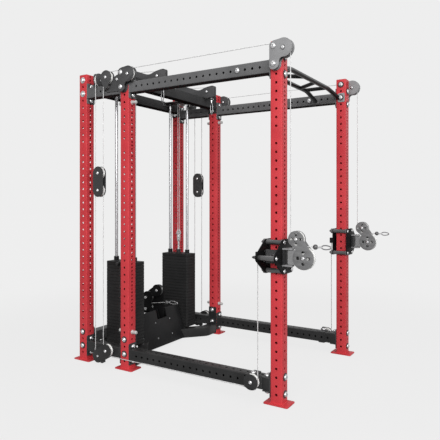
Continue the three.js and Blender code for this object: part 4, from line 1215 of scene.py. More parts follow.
def pullUpBar():
    material, spec = "barCoat", pullUp
    shape = Shape("pullUpBar")
    reach, z = innerFace - plateThick, spec["z"]
    for end, (tipY, up) in spec["tips"].items():
        wing = [(reach + 2, tipY, topBeamZ + up), (spec["straight"] + 15, spec[end], z)]
        path = [(-x, wy, wz) for x, wy, wz in wing] + wing[::-1]
        shape.hose(softPath(path, spec["soften"]), spec["radius"], material, spec["counts"][0])
    for a, b in spec["rungs"]:
        for s in both:
            rung = [(s * a, spec["front"], z), (s * b, spec["rear"], z)]
            shape.hose(rung, spec["rung"], material, spec["counts"][1])
    for y, long, tall, paint in spec["flanges"]:
        outline = pad(y, topBeamZ, long, tall, spec["flangeCorner"], 5)
        for s in both:
            shape.plate(outline, "x", s * (innerFace - 0.3), s * reach, paint)
    shape.done("frame", ["pull_up_bar"], "black_powder_coat")


pullUpBar()


# top brackets and the loose sheaves
lobe = {"radius": 56.0, "foot": 34.0, "rear": 26.0, "spacer": 13.0}


def topBracket(row, label, s):
    # the mid brackets take the grey coat darkened: painted shade
    material = "greyCoat" if row == "front" else "middleCoat"
    y, radius, foot, rear = rows[row], lobe["radius"], lobe["foot"], rows[row] + lobe["rear"]
    axleY, footZ, topZ = y - axleAhead, topBeamZ, topAxleZ
    outline = [
        (rear, footZ - 20), (rear, topZ + 33), (y + 6, topZ + 48), *arc((axleY, topZ), radius, 84, 258, 22),
        (axleY + 14, topZ - radius + 3), (y - foot, footZ + 16), *arc((y, footZ), foot, 180, 300, 12),
    ]
    outline = rounded(outline, [10, 12, 30] + [0] * 23 + [16, 12] + [0] * 13, 5)
    shape = Shape(f"topBracket_{row}_{label}")
    for at in (cheekNear, cheekFar):
        shape.sheet(outline, "x", s * at, s * cheekThick, material)
    for k in (beamSpec["topHole"], beamSpec["topHole"] + 2):
        shape.bar("x", lobe["spacer"], s * (cheekNear + 1), s * (cheekFar + 1), y, holeZ(k), material)
    axle(shape, s, axleY, topZ, cheekNear + 1)
    shape.done("frame", [f"{row}_top_bracket_{label}"], "grey_powder_coat")


def looseSheave(name, node, centre, **size):
    # a sheave whose body has the name of its node
    shape = Shape(name)
    addSheave(shape, centre, **size)
    shape.done(node, [node], "white_nylon")


for label, s in sides.items():
    for row in ("front", "mid"):
        topBracket(row, label, s)
        centre = (s * planeX, rows[row] - axleAhead, topAxleZ)
        looseSheave(f"topSheave_{row}_{label}", f"{row}_top_sheave_{label}", centre)
    looseSheave(f"lowSheave_{label}", f"low_front_sheave_{label}", (s * planeX, lowFrontY, lowAxleZ))
print("top brackets and sheaves ready")


# lat stations and the ties of the guide rods
stackX = cage["halfWidth"] - 231.85
latX, liftX = stackX - 11, stackX + 11
turnX = liftX + line
latAxle = (rows["mid"] - 80, 2117.0)
latRear = (stackY - line, 2136.0)
strapZ, strapThick = topCrossZ + 19, 6.0
tie = {
    "inner": 46.0, "outer": 88.0, "drop": 20.0, "thick": 5.0, "slotHalf": 9.0, "slotIn": 12.0, "slotOut": 36.0,
}


def latBracket(label, s):
    # the lat brackets take the black coat lightened: painted light
    material = "middleCoat"
    shape = Shape(f"latBracket_{label}")
    mid, floor, behind = rows["mid"], topCrossZ + half + gap, rows["mid"] + half + gap
    (y, z), (rearY, rearZ) = latAxle, latRear
    outline = [
        (y - 76, z - 46), *arc(latAxle, 56, 250, 300, 8), (mid - half, floor), (behind, floor),
        (behind, strapZ), (rearY + 62, strapZ), (rearY + 62, rearZ + 52), (rearY - 54, rearZ + 50),
        (mid, z + 17), (y + 16, z + 40), (y - 50, z + 49), (y - 76, z + 42),
    ]
    outline = rounded(outline, [10] + [0] * 9 + [10, 2, 2, 6, 40, 34, 40, 24, 20, 12], 6)
    near = slim / 2 + 2
    for side in both:
        shape.sheet(outline, "x", s * (latX + side * near), s * side * cheekThick, material, edge=0.9)
    reach = near + cheekThick + 4.5
    for y, z in (latAxle, latRear):
        shape.bar("x", axleRadius, s * (latX - reach), s * (latX + reach), y, z, edge=2)
        addSheave(shape, (s * latX, y, z), width=slim)
    back, wall, top = rows["rear"] - half - gap, tie["thick"], strapZ + 1
    near, far, slotHalf = s * (latX - tie["slotIn"]), s * (turnX + tie["slotOut"]), tie["slotHalf"]
    slot = rounded(rectangle(near, stackY - slotHalf, far, stackY + slotHalf), 8, 4)
    corners = [3, 60, 60, 3] if s > 0 else [60, 3, 3, 60]
    strap = rectangle(s * (stackX - tie["inner"]), behind, s * (stackX + tie["outer"]), back)
    shape.plate(rounded(strap, corners, 5), "z", strapZ, strapZ + strapThick, material, holes=[slot])
    for a, b in ((behind, behind + wall), (back - wall, back)):
        start = (s * (stackX - tie["inner"]), a, strapZ - tie["drop"])
        shape.block(start, (s * (stackX + tie["inner"]), b, top), material, edge=1.5)
    cheek = rounded(rectangle(s * (liftX + 6), strapZ + 2, s * (turnX + 30), topAxleZ + 30), 24, 6)
    for side in both:
        at = stackY + side * (slim / 2 + diverter["clear"])
        shape.sheet(cheek, "y", at, side * diverter["thick"], material)
    addSheave(shape, (s * turnX, stackY, topAxleZ), alongY, width=slim)
    start, end = stackY - diverter["axle"], stackY + diverter["axle"]
    shape.bar("y", axleRadius, start, end, s * turnX, topAxleZ, edge=2)
    shape.done("frame", [f"lat_bracket_{label}"], "black_powder_coat")


# weight stacks
stack = {
    "plates": 24, "thick": 25.2, "gap": 1.3, "wide": 130.0, "long": 274.0, "base": 93.0, "corner": 9.0,
    "rod": 12.0, "rodGap": 0.9, "spread": 185.0, "stem": 14.0, "pinHole": 5.4, "lift": 26.0, "yoke": 196.0,
    "footHalf": 68.0, "postHalf": 60.0, "post": 20.0,
}
collar = {"bore": 12.8, "wall": 20.0, "lip": 3.0, "tall": 34.0, "sleeve": 18.0}
turnbuckle = {
    "rod": 8.0, "nut": 13.0, "nutTall": 9.0, "drop": 94.0, "rodTo": 80.0, "bridge": (22.0, 9.0, 30.0),
    "ferrule": 6.0, "ferruleTop": 14.0, "ends": 11.0,
}
knobPin = {"from": 22.0, "up": 13.0}
stackTop = stack["base"] + stack["plates"] * stack["thick"]
liftTop = stackTop + stack["lift"]
yokeTop = liftTop + stack["yoke"]
rodY = (stackY - stack["spread"] / 2, stackY + stack["spread"] / 2)


def guideRods(label, s):
    shape = Shape(f"guideRods_{label}")
    x, top, end = s * stackX, stack["base"], rows["rear"] + stack["post"]
    base = (x - s * stack["footHalf"], bowY - 30, bowTop + gap)
    shape.block(base, (x + s * stack["footHalf"], end, top - gap), "blackCoat", edge=1.5)
    post = (x - s * stack["postHalf"], rows["rear"] - stack["post"], top - 2)
    shape.block(post, (x + s * stack["postHalf"], end, lowCrossZ - half - gap), "blackCoat", edge=1.5)
    for y in rodY:
        shape.bar("z", stack["rod"], top - 2, strapZ - gap, x, y, "polishedChrome", count=28)
        shape.bar("z", collar["wall"], strapZ - 26, strapZ - 0.4, x, y, "blackCoat", edge=1.5)
    shape.done("frame", [f"guide_rods_{label}"], "polished_chrome")


def lowerPlates(label, s):
    # one plate, repeated up the stack, and the bushed hole of each for the selector pin
    plate = Shape("stackPlate")
    thick, hole = stack["thick"], stack["pinHole"]
    holes = [(0, y, stack["rod"] + stack["rodGap"]) for y in rodY]
    holes.append((0, stackY, stack["stem"] + stack["rodGap"]))
    outline = pad(0, stackY, stack["wide"], stack["long"], stack["corner"])
    plate.plate(outline, "z", 0, thick - stack["gap"], "plateIron", holes=holes, edge=2.0, steps=2)
    shape = Shape(f"weightPlates_{label}")
    addRow(shape, plate, stack["plates"], (s * stackX, 0, stack["base"]), thick, "plateIron")
    profile = [(0, -2.5), (hole, -2.5), (hole, 0.6), (hole + 3.2, 0.6), (hole + 3.6, -1.2), (0, -4)]
    for i in range(stack["plates"]):
        at = (s * (stackX + stack["wide"] / 2), stackY, stack["base"] + thick * (i + 0.5) - 0.6)
        shape.lathe(profile, at, (s, 0, 0), "blackCoat", 14)
    shape.done("frame", [f"weight_plates_{label}"], "black_cast_plates")


def headPlate(label, s):
    low, x = stackTop + gap, s * stackX
    shape = Shape(f"headPlate_{label}")
    bore, wall, lip, tall = (collar[name] for name in ("bore", "wall", "lip", "tall"))
    outline = pad(x, stackY, stack["wide"], stack["long"], stack["corner"])
    holes = [(x, y, bore) for y in rodY]
    shape.plate(outline, "z", low, liftTop, "plateIron", holes=holes, edge=2.2, steps=3)
    profile = [
        (bore, 0), (wall + lip, 0), (wall + lip, 4), (wall, 6), (wall, tall - 1.5), (wall - 1.5, tall),
        (bore, tall),
    ]
    for y in rodY:
        shape.lathe(profile, (x, y, liftTop - 0.4), alongZ, "blackCoat", closed=True)
    # stem, sleeve, threaded rod, turnbuckle and the bridge that both cables end in
    spec = turnbuckle
    sleeveTop = liftTop + tall
    shape.bar("z", stack["stem"], stack["base"] + 30, low + 2, x, stackY)
    shape.bar("z", collar["sleeve"], liftTop - 0.5, sleeveTop, x, stackY, "blackCoat", edge=2)
    shape.bar("z", spec["rod"], liftTop, yokeTop - spec["rodTo"], x, stackY)
    shape.bar("z", spec["nut"], sleeveTop, sleeveTop + spec["nutTall"], x, stackY, edge=1, count=6)
    body = [
        (0, 0), (9, 0), (13, 8), (14, 14), (14, 34), (16, 37), (16, 45), (14, 48), (14, 62), (16, 64),
        (16, 74), (12, 78), (12, 82), (0, 82),
    ]
    shape.lathe(body, (x, stackY, yokeTop - spec["drop"]), alongZ, "zincPlate")
    wide, deep, tall = spec["bridge"]
    a = (x - wide, stackY - deep, yokeTop - tall)
    shape.block(a, (x + wide, stackY + deep, yokeTop), "zincPlate", edge=4, steps=2)
    for side in both:
        at = x + side * spec["ends"]
        shape.bar("z", spec["ferrule"], yokeTop - 6, yokeTop + spec["ferruleTop"], at, stackY, edge=2)
    shape.done(f"head_plate_{label}", [f"head_plate_{label}"], "black_cast_plates")


def selectorPin(label, s):
    shape = Shape(f"selectorPin_{label}")
    profile = [
        (0, 0), (4.2, 0), (5, 2), (5, 51), (9, 52), (9, 56), (12, 58), (12.4, 62), (10.6, 66), (10.6, 70),
        (12.4, 74), (11, 77), (0, 77.5),
    ]
    start = (s * (stackX + knobPin["from"]), stackY, stackTop + gap + knobPin["up"])
    shape.lathe(profile, start, (s, 0, 0), "blackCoat")
    shape.done(f"selector_pin_{label}", [f"selector_pin_{label}"], "zinc_steel")


for label, s in sides.items():
    latBracket(label, s)
    guideRods(label, s)
    lowerPlates(label, s)
    headPlate(label, s)
    selectorPin(label, s)
print("lat stations and stacks ready")


# floating blocks
block = {"round": 48.5, "near": 17.0, "far": 12.0, "thick": 5.0, "count": 20}
blockNear, blockFar = planeX - block["near"], planeX + block["far"]


def floatBlock(label, s):
    shape = Shape(f"floatBlock_{label}")
    radius, count = block["round"], block["count"]
    outline = arc((floatY, floatZ[1]), radius, 0, 180, count)
    outline += arc((floatY, floatZ[0]), radius, 180, 360, count)
    for at in (blockNear, blockFar):
        shape.sheet(outline, "x", s * at, s * block["thick"], "floatCoat")
    for z in floatZ:
        shape.bar("x", axleRadius, s * (blockNear - 2), s * (blockFar + 8.5), floatY, z, edge=2)
        addSheave(shape, (s * planeX, floatY, z))
    shape.done(f"float_block_{label}", [f"float_block_{label}"], "black_powder_coat")


# trolleys
trolleySpec = {
    "hole": 16, "roller": 15.5, "rollerGap": 0.4, "rollerUp": 83.0, "collar": 18.5, "frontAt": half + 13,
    "rearAt": half + 14, "bossEnd": half + 36, "front": 7.0, "rear": 6.0, "frontApex": 18.0, "rearApex": 34.0,
    "round": 18.0, "edge": 16.0, "grip": 160.0, "lookout": (47.0, 32.0, 5.5), "tongue": (11.0, 21.0),
}
trolleyPinSpec = {"out": 24.0, "bar": 9.0, "barHalf": 40.0, "boss": 18.0, "travel": 14.0}
earSpec = {
    "half": 24.0, "out": 19.0, "web": 20.0, "webAhead": 30.0, "cap": 12.0, "top": (44, 52), "low": (-51, -43),
}
hexSpec = {"front": 9.0, "rear": 8.8, "edge": 1.5, "tip": 5.0}
pinZ = holeZ(trolleySpec["hole"])
frontAt, rearAt, bossEnd = (trolleySpec[name] for name in ("frontAt", "rearAt", "bossEnd"))
rollerOut = half + trolleySpec["rollerGap"] + trolleySpec["roller"]
gripX = cage["halfWidth"] + trolleySpec["grip"]
dropY = -(axleAhead + line)
riseY = 111.0
earTop, earLow = ([pinZ + up for up in earSpec[name]] for name in ("top", "low"))
pinBoss = outerFace + trolleyPinSpec["out"]
rollerSpots = [(side * rollerOut, up * trolleySpec["rollerUp"]) for side in both for up in both]


def trolleyOutline(s, apex):
    out, reach = rollerOut - half + trolleySpec["edge"], trolleySpec["rollerUp"] + trolleySpec["round"]
    inner, outer, low, high = innerFace - out, outerFace + out, pinZ - reach, pinZ + reach
    corners = [
        (inner, low), (inner, high), (outer, high), (gripX + apex, pinZ + 14), (gripX + apex, pinZ - 14),
        (outer, low),
    ]
    return rounded([(s * x, z) for x, z in corners], [22, 22, 20, 22, 22, 20], 6)


def frontHex(shape, x, z):
    shape.bar("y", hexSpec["front"], -frontAt - 8, -frontAt + 1, x, z, edge=hexSpec["edge"], count=6)


def trolleyRoller(shape, x, z):
    # a roller between the plates with its collar, the boss behind the rear plate and the bolt through all
    big, radius, material = trolleySpec["collar"], trolleySpec["roller"] - 0.8, "rollerRubber"
    long, boss = frontAt + rearAt + 0.6, bossEnd - rearAt - 5
    profile = [
        (0, 0), (big - 1.2, 0), (big, 1.2), (big, 9.5), (big - 1.5, 11), (radius, 11.5), (radius, long),
        (0, long),
    ]
    shape.lathe(profile, (x, -frontAt - 0.6, z), alongY, material)
    profile = [(0, 0), (big, 0), (big, boss - 3), (big - 3, boss), (0, boss)]
    shape.lathe(profile, (x, rearAt + 5, z), alongY, material)
    frontHex(shape, x, z)
    edge = hexSpec["edge"]
    shape.bar("y", hexSpec["rear"], bossEnd - 1, bossEnd + 9, x, z, "blackCoat", edge=edge, count=6)
    shape.bar("y", hexSpec["tip"], bossEnd + 8, bossEnd + 13.6, x, z, edge=1)


def trolleyGrip(shape, x):
    between, long = frontAt + rearAt, frontAt + bossEnd
    profile = [
        (0, 0), (13.6, 0), (14.6, 1), (14.6, between - 4), (13.2, between), (13.2, long - 3), (11, long),
        (0, long),
    ]
    shape.lathe(profile, (x, -frontAt, pinZ), alongY, "rollerRubber")
    frontHex(shape, x, pinZ)
    tip = [(0, 0), (9, 0), (9, 8), (4, 20), (0, 20.5)]
    shape.lathe(tip, (x, bossEnd - 1, pinZ), alongY, "blackCoat", 20)


def trolley(label, s):
    material = "deepCoat"
    spec = trolleySpec
    shape = Shape(f"trolley_{label}")
    front, rear = trolleyOutline(s, spec["frontApex"]), trolleyOutline(s, spec["rearApex"])
    shape.plate(front, "y", -frontAt - spec["front"], -frontAt, material, edge=1.0, steps=2)
    out, up, radius = spec["lookout"]
    holes = [(s * (outerFace + out), pinZ + side * up, radius) for side in both]
    shape.plate(rear, "y", rearAt, rearAt + spec["rear"], material, holes=holes, edge=1.0, steps=2)
    for x, up in rollerSpots:
        trolleyRoller(shape, s * (cage["halfWidth"] + x), pinZ + up)
    trolleyGrip(shape, s * gripX)
    spec = trolleyPinSpec
    a = (s * pinBoss, -frontAt - 1, pinZ - spec["barHalf"])
    shape.block(a, (s * (pinBoss + spec["bar"]), rearAt + 1, pinZ + spec["barHalf"]), "shadeCoat", edge=1.5)
    long = spec["boss"] - 1
    profile = [(6.6, 0), (13, 0), (13, long - 1.5), (11.5, long), (6.6, long)]
    shape.lathe(profile, (s * (pinBoss + 1), 0, pinZ), (s, 0, 0), "rollerRubber", closed=True)
    trolleyEars(shape, s, material)
    wide, tall = trolleySpec["tongue"]
    a = (s * (planeX - wide), rearAt + 5, pinZ - tall)
    shape.block(a, (s * (planeX + wide), riseY + 11, pinZ + tall), material, edge=2)
    shape.done(f"trolley_{label}", [f"trolley_{label}"], "black_powder_coat")


def trolleyEars(shape, s, material):
    # the two ears the arm swivels between, their web and the upright bolt
    spec, back = earSpec, -frontAt - 6
    ear = rectangle(s * (planeX - spec["half"]), dropY - spec["out"], s * (planeX + spec["half"]), back)
    for low, high in (earTop, earLow):
        shape.plate(rounded(ear, [18, 18, 4, 4], 6), "z", low, high, "greyCoat", edge=1.0, steps=2)
    a = (s * (planeX - spec["web"]), dropY + spec["webAhead"], earLow[0] + 1)
    shape.block(a, (s * (planeX + spec["web"]), back, earTop[1] - 1), material, edge=2)
    shape.bar("z", axleRadius, earLow[0] - 1, earTop[1] + 1, s * planeX, dropY)
    shape.bar("z", spec["cap"], earTop[1] - 0.5, earTop[1] + 4, s * planeX, dropY, edge=1.5)


def trolleyPin(label, s):
    tip = outerFace + 0.6
    reach = pinBoss + trolleyPinSpec["boss"] + trolleyPinSpec["travel"] + 0.7 - tip
    shape = Shape(f"trolleyPin_{label}")
    shank = [(0, 0), (4.6, 0), (6, 3), (6, reach + 4), (0, reach + 4)]
    shape.lathe(shank, (s * tip, 0, pinZ), (s, 0, 0), "zincPlate")
    knob = [(0, 0), (9, 0), (10.6, 1.5), (11, 4), (9.6, 9), (11, 15), (10.6, 19.5), (8, 21), (0, 21)]
    shape.lathe(knob, (s * (tip + reach), 0, pinZ), (s, 0, 0), "rollerRubber")
    shape.done(f"trolley_pin_{label}", [f"trolley_pin_{label}"], "zinc_steel")


# swivel arms
arm = {
    "near": 12.0, "thick": 5.0, "pitch": 82.0, "up": 106.0, "bigGroove": 60.0, "bigRim": 66.0, "upper": 48.0,
    "lower": 64.0, "holes": 4, "hole": 10.0, "holeRing": 31.0, "smallHole": 8.2, "smallRing": 27.0, "hex": 11.0,
    "link": 46.0, "linkIn": 11.0, "bush": 8.4,
}
armUpper = (dropY - line, pinZ + arm["up"])
armLower = (dropY - arm["pitch"], pinZ)
armReach = arm["near"] + arm["thick"]
exitZ = armUpper[1] - line
ballY = dropY - 150


def swivelArm(label, s):
    shape = Shape(f"swivelArm_{label}")
    outline = [*arc(armUpper, arm["upper"], -30, 190, 26), *arc(armLower, arm["lower"], 128, 405, 40)]
    low, high, front, back = earLow[1] + 3, earTop[0] - 3, dropY + arm["linkIn"], armLower[0] + arm["link"]
    link = rounded([(front, low), (front, high), (back, high), (back, low)], [6, 6, 4, 4], 3)
    windows = []
    for centre, ring, radius in ((armLower, "holeRing", "hole"), (armUpper, "smallRing", "smallHole")):
        windows += [(*spot, arm[radius]) for spot in circle(*centre, arm[ring], arm["holes"])]
    for side in both:
        a, b = s * (planeX + side * arm["near"]), s * (planeX + side * armReach)
        shape.plate(outline, "x", a, b, "armCoat", holes=windows, edge=1.2, steps=2)
        shape.plate(link, "x", a + s * side * 0.2, b - s * side * 0.2, "armCoat", edge=0.8)
    inner, outer = arm["bush"], arm["near"] + 2
    profile = [(inner, 0), (outer, 0), (outer, high - low), (inner, high - low)]
    shape.lathe(profile, (s * planeX, dropY, low), alongZ, "blackCoat", closed=True)
    for spot in (armUpper, armLower):
        shape.bar("x", axleRadius, s * (planeX - armReach - 1), s * (planeX + armReach + 1), *spot, edge=1)
        for side in both:
            start, end = s * (planeX + side * (armReach - 0.3)), s * (planeX + side * (armReach + 1))
            shape.bar("x", arm["hex"], start, end, *spot, count=6)
    shape.done(f"arm_{label}", [f"swivel_arm_{label}"], "grey_powder_coat")
    deep = sheaveSpec["deepRecess"]
    looseSheave(f"armUpperSheave_{label}", f"arm_upper_sheave_{label}", (s * planeX, *armUpper), recess=deep)
    size = {"groove": arm["bigGroove"], "rim": arm["bigRim"], "recess": deep}
    looseSheave(f"armLowerSheave_{label}", f"arm_lower_sheave_{label}", (s * planeX, *armLower), **size)


# ball stops and snap hooks
ball = {"radius": 15.0, "stem": 5.0, "nut": 7.0}
hook = {"wide": 28.8, "wire": 3.4, "spots": 28, "swell": 0.16, "count": 10}


def hookWire(centre, long, axis):
    # snap hook: an egg-shaped wire loop; axis is the one it hangs on, "y" or "z"
    x, y, z = centre
    spots = []
    for i in range(hook["spots"]):
        t = math.tau * i / hook["spots"]
        reach = (long / 2 - hook["wire"]) * math.cos(t)
        spread = (hook["wide"] / 2 - hook["wire"]) * math.sin(t) * (1 + hook["swell"] * math.cos(t))
        spots.append((x, y + reach, z + spread) if axis == "y" else (x, y + spread, z + reach))
    return spots


def addHook(shape, centre, long, axis, gate, material="hookSteel"):
    # the wire loop and its gate, given by two points in the plane of the loop
    wire = hook["wire"]
    shape.ring(hookWire(centre, long, axis), wire, material, hook["count"])
    start, end = [(centre[0], centre[1] + y, centre[2] + z) for y, z in gate]
    shape.rod(wire, start, end, material, edge=1)


def cableEnd(label, s):
    shape = Shape(f"cableEnd_{label}")
    x = s * planeX
    shape.ball((x, ballY, exitZ), ball["radius"], "rollerRubber")
    shape.bar("y", ball["stem"], ballY - 12, ballY - 38, x, exitZ)
    shape.bar("y", ball["nut"], ballY - 13, ballY - 20, x, exitZ, edge=1, count=6)
    addHook(shape, (x, ballY - 63, exitZ), 62, "y", [(-7, 11), (13, 11.4)])
    shape.done(f"cable_end_{label}", [f"cable_end_{label}"], "zinc_steel")


for label, s in sides.items():
    floatBlock(label, s)
    trolley(label, s)
    trolleyPin(label, s)
    swivelArm(label, s)
    cableEnd(label, s)
print("trolleys and arms ready")


# cables: a run that goes between two bodies is baked in place and parented to neither
cableSpec = {
    "radius": cage["cableRadius"], "count": 10, "degrees": 6, "steps": 24, "exitSteps": 12, "sunk": 4.0,
}


def wrapped(centre, start, end):
    return arc(centre, line, start, end, max(4, round(abs(end - start) / cableSpec["degrees"])))


def cable(name, body, points, replaced):
    shape = Shape(name)
    shape.hose(points, cableSpec["radius"], "cableCover", cableSpec["count"])
    shape.done(body, [replaced], "zinc_steel")


def turn(name, body, x, spots, replaced):
    # a run in one upright plane, from y and z
    cable(name, body, [(x, y, z) for y, z in spots], replaced)


def stretched(name, first, last, points, replaced):
    # a straight run from the first body to the last
    cable(name, (first, last, place(*points[0]), place(*points[-1])), points, replaced)


def leg(name, low, high, x, y, replaced, lowBody, highBody):
    # an upright run of cable from one body to another
    steps = cableSpec["steps"]
    points = [(x, y, low + (high - low) * i / steps) for i in range(steps + 1)]
    stretched(name, lowBody, highBody, points, replaced)


def upperCable(label, s):
    node, x = f"upper_cable_{label}", s * planeX
    armBody, floatBody = f"arm_{label}", f"float_block_{label}"
    # from the ball stop to the arm's upper sheave, and round it
    start, steps = ballY + ball["radius"] - 2, cableSpec["exitSteps"]
    points = [(x, start + (armUpper[0] - start) * i / steps, exitZ) for i in range(steps + 1)]
    stretched(f"cableExit_{label}", f"cable_end_{label}", armBody, points, node)
    turn(f"cableArm_{label}", armBody, x, wrapped(armUpper, 270, 360), node)
    leg(f"cableDrop_{label}", armUpper[1], topAxleZ, x, dropY, node, f"trolley_{label}", "frame")
    run = wrapped((rows["front"] - axleAhead, topAxleZ), 180, 90) + wrapped((rearAxleY, topAxleZ), 90, 0)
    turn(f"cableTop_{label}", "frame", x, run, node)
    leg(f"cableFloatFront_{label}", floatZ[1], topAxleZ, x, rearAxleY + line, node, floatBody, "frame")
    turn(f"cableFloatTurn_{label}", floatBody, x, wrapped((floatY, floatZ[1]), 180, 360), node)
    leg(f"cableFloatRear_{label}", floatZ[1], topAxleZ, x, diverterY, node, floatBody, "frame")
    over = [(s * px, diverterY, pz) for px, pz in wrapped((diverterX, topAxleZ), 0, 90)]
    over += [(s * px, stackY, pz) for px, pz in wrapped((turnX, topAxleZ), 90, 180)]
    cable(f"cableAcross_{label}", "frame", over, node)
    low = yokeTop - cableSpec["sunk"]
    leg(f"cableLift_{label}", low, topAxleZ, s * liftX, stackY, node, f"head_plate_{label}", "frame")


def lowerCable(label, s):
    node, x, floatBody = f"lower_cable_{label}", s * planeX, f"float_block_{label}"
    leg(f"cableRise_{label}", lowAxleZ, pinZ - 20, x, riseY, node, "frame", f"trolley_{label}")
    run = wrapped((lowFrontY, lowAxleZ), 180, 270) + wrapped((rearAxleY, lowAxleZ), 270, 360)
    turn(f"cableBottom_{label}", "frame", x, run, node)
    leg(f"cableFloatLow_{label}", lowAxleZ, floatZ[0], x, rearAxleY + line, node, "frame", floatBody)
    turn(f"cableLowTurn_{label}", floatBody, x, wrapped((floatY, floatZ[0]), 180, 0), node)
    leg(f"cableDead_{label}", deadZ, floatZ[0], x, floatY + line, node, "frame", floatBody)
    dead = wrapped((floatY, deadZ), 0, -90) + [(floatY - 26, deadZ - line)]
    turn(f"cableDeadEnd_{label}", "frame", x, dead, node)


latDropY = latAxle[0] - line
latBallZ = latAxle[1] - 62


def latCable(label, s):
    node, x = f"lat_cable_{label}", s * latX
    low = yokeTop - cableSpec["sunk"]
    leg(f"cableLatLift_{label}", low, latRear[1], x, stackY, node, f"head_plate_{label}", "frame")
    run = wrapped(latRear, 0, 90) + wrapped(latAxle, 90, 180) + [(latDropY, latBallZ - 6)]
    turn(f"cableLat_{label}", "frame", x, run, node)
    shape = Shape(f"latHook_{label}")
    shape.ball((x, latDropY, latBallZ), ball["radius"], "rollerRubber")
    shape.bar("z", ball["stem"], latBallZ - 12, latBallZ - 40, x, latDropY)
    shape.bar("z", ball["nut"], latBallZ - 13, latBallZ - 21, x, latDropY, edge=1, count=6)
    addHook(shape, (x, latDropY, latBallZ - 84), 104, "z", [(-11.6, -20), (-11.2, 12)])
    shape.done("frame", [node], "zinc_steel")


rowLine = {"rise": 8.0, "out": 190.0}


def rowCable():
    rise, lower = math.radians(rowLine["rise"]), housing["lower"]
    start = rowY - rowLine["out"]
    leaveY, leaveZ = rowY + line * math.sin(rise), lower + line * math.cos(rise)

    def lineZ(y):
        return leaveZ + (leaveY - y) * math.tan(rise)

    spots = [(start - 12, lineZ(start - 12))] + wrapped((rowY, lower), 90 - rowLine["rise"], 0)
    turn("cableRow", "frame", 0, spots + [(rowY + line, lower - 30)], "row_cable")
    shape = Shape("rowHook")
    shape.ball((0, start, lineZ(start)), ball["radius"], "rollerRubber")
    shape.rod(ball["stem"], (0, start - 12, lineZ(start - 12)), (0, start - 30, lineZ(start - 30)))
    addHook(shape, (0, start - 67, lineZ(start - 22)), 90, "y", [(-12, 11.6), (16, 11.2)], "zincPlate")
    shape.done("frame", ["row_cable"], "zinc_steel")


for label, s in sides.items():
    upperCable(label, s)
    lowerCable(label, s)
    latCable(label, s)
rowCable()
print("cables ready")


# bolts
plateLift = gap + plateThick
cheekLift = cheekEnd - outerFace
ends = (39, 37, 2, 0)
darkBolts = (
    ("front", (38,), "in", plateLift), ("front", (40,), "in", 0),
    ("front", ends, "front", 0), ("front", ends, "rear", plateLift),
    ("mid", (3, 1), "out", 0), ("mid", (40, 38, 3, 1), "in", plateLift),
    ("mid", ends, "front", plateLift), ("mid", ends, "rear", plateLift),
    ("rear", (40, 38, 3, 1), "in", plateLift), ("rear", ends, "front", plateLift),
    ("rear", ends, "rear", 0), ("rear", (3, 1), "out", 0),
)
bare = cheekLift - washer["thick"] + 0.2
brightBolts = (("rear", (40, 38), "out", 0), ("front", (38, 40), "out", bare), ("mid", (38, 40), "out", bare))
boltSpec = {
    "barY": 260.35, "barIn": 1.5, "saddleIn": 20.0, "backing": (26.0, 66.0), "strapIn": 22.0, "strapOut": 28.0,
}
screwSpec = {"out": 92.0, "up": (83, 204), "near": 20.2, "far": 40.0}


def uprightSpots(s, rowsOfBolts):
    # each row is (upright, holes, the way its face looks, how far the seat stands off that face)
    x = s * cage["halfWidth"]
    spots = []
    for row, holes, way, lift in rowsOfBolts:
        y, reach = rows[row], half + lift
        for z in map(holeZ, holes):
            spots.append({
                "out": (x + s * reach, y, z, (s, 0, 0)),
                "in": (x - s * reach, y, z, (-s, 0, 0)),
                "front": (x, y - reach, z, (0, -1, 0)),
                "rear": (x, y + reach, z, (0, 1, 0)),
            }[way])
    return spots


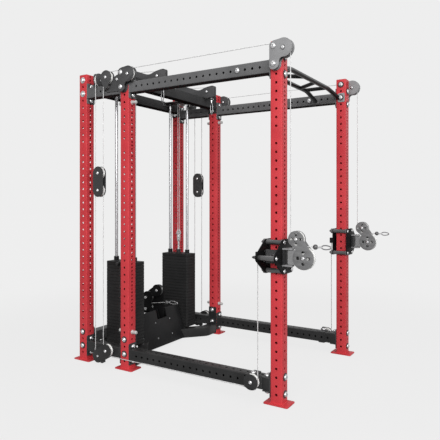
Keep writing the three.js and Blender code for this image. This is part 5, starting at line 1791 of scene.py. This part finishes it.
def frameBolts(label, s):
    spec, out = boltSpec, (s, 0, 0)
    dark, bright = uprightSpots(s, darkBolts), uprightSpots(s, brightBolts)
    bright.append((s * (outerFace - spec["barIn"]), spec["barY"], topBeamZ, out))
    bright.append((s * (innerFace + spec["barIn"]), spec["barY"], topBeamZ, (-s, 0, 0)))
    x = s * (cage["halfWidth"] + spec["saddleIn"])
    bright += [(x, y, lowBeamZ + up * (half + 6), (0, 0, up)) for y in saddles for up in both]
    fastenRow(f"frameBolts_{label}", bigHead, dark + bright, "zincPlate", "frame")
    # black washers under the upright bolts; their rim also stands in for the shadow round each dome
    fastenRow(f"darkWashers_{label}", bigWasher, dark, "blackCoat", "frame", "black_powder_coat")
    fastenRow(f"zincWashers_{label}", bigWasher, bright[:2], "zincPlate", "frame")
    axles = ((rearAxleY, topAxleZ), (rearAxleY, lowAxleZ), (lowFrontY, lowAxleZ))
    small = [(s * cheekEnd, y, z, out) for y, z in axles]
    y, z = spec["backing"]
    small.append((s * (outerFace + 7.6), rows["mid"] + half + y, topBeamZ + z, out))
    for row in ("front", "mid"):
        small.append((s * (cheekNear - 0.2), rows[row] - axleAhead, topAxleZ, (-s, 0, 0)))
        small.append((s * cheekEnd, rows[row] - axleAhead, topAxleZ, out))
    reach = slim / 2 + 2 + cheekThick + 3
    for side in both:
        small += [(s * (latX + side * reach), *spot, (side * s, 0, 0)) for spot in (latAxle, latRear)]
    y, z, up = rows["rear"] - half - spec["strapIn"], strapZ + strapThick, (0, 0, 1)
    small += [(s * (stackX + side * spec["strapOut"]), y, z, up) for side in both]
    fastenRow(f"smallBolts_{label}", smallHead, small, "zincPlate", "frame")
    fastenRow(f"smallWashers_{label}", littleWasher, small, "blackCoat", "frame", "black_powder_coat")


def movingBolts(label, s):
    seatY, ahead = -frontAt - 6, (0, -1, 0)
    front = [(s * (cage["halfWidth"] + x), seatY, pinZ + up, ahead) for x, up in rollerSpots]
    front.append((s * gripX, seatY, pinZ, ahead))
    fastenRow(f"trolleyBolts_{label}", smallHead, front, "zincPlate", f"trolley_{label}")
    ways = ((blockNear, -1), (blockFar + block["thick"], 1))
    floatSpots = [(s * at, floatY, z, (s * way, 0, 0)) for z in floatZ for at, way in ways]
    fastenRow(f"floatBolts_{label}", smallHead, floatSpots, "zincPlate", f"float_block_{label}")
    armSpots = [
        (s * (planeX + side * armReach), *spot, (s * side, 0, 0)) for spot in (armUpper, armLower) for side in both
    ]
    fastenRow(f"armBolts_{label}", smallHead, armSpots, "zincPlate", f"arm_{label}")


def centreBolts():
    axles, screws, spec = [], [], screwSpec
    lean = tuple(Vector((0, -1, panel["lean"])).normalized())
    near = spec["near"]
    for side in both:
        reach, way = spec["far"] if side < 0 else near, (side, 0, 0)
        axles += [(side * reach, rowY, housing[name], way) for name in ("upper", "lower")]
        axles.append((side * near, *rowGuide, way))
        screws += [(side * spec["out"], leanY(z), z, lean) for z in spec["up"]]
        screws.append((side * near, *rowPin, way))
    fastenRow("rowBolts", smallHead, axles, "zincPlate", "frame")
    fastenRow("panelScrews", screwHead, screws, "greyCoat", "frame", "grey_powder_coat")


for label, s in sides.items():
    frameBolts(label, s)
    movingBolts(label, s)
centreBolts()
for part in (bigHead, smallHead, bigWasher, littleWasher, screwHead):
    bpy.data.objects.remove(part)
print("bolts ready")
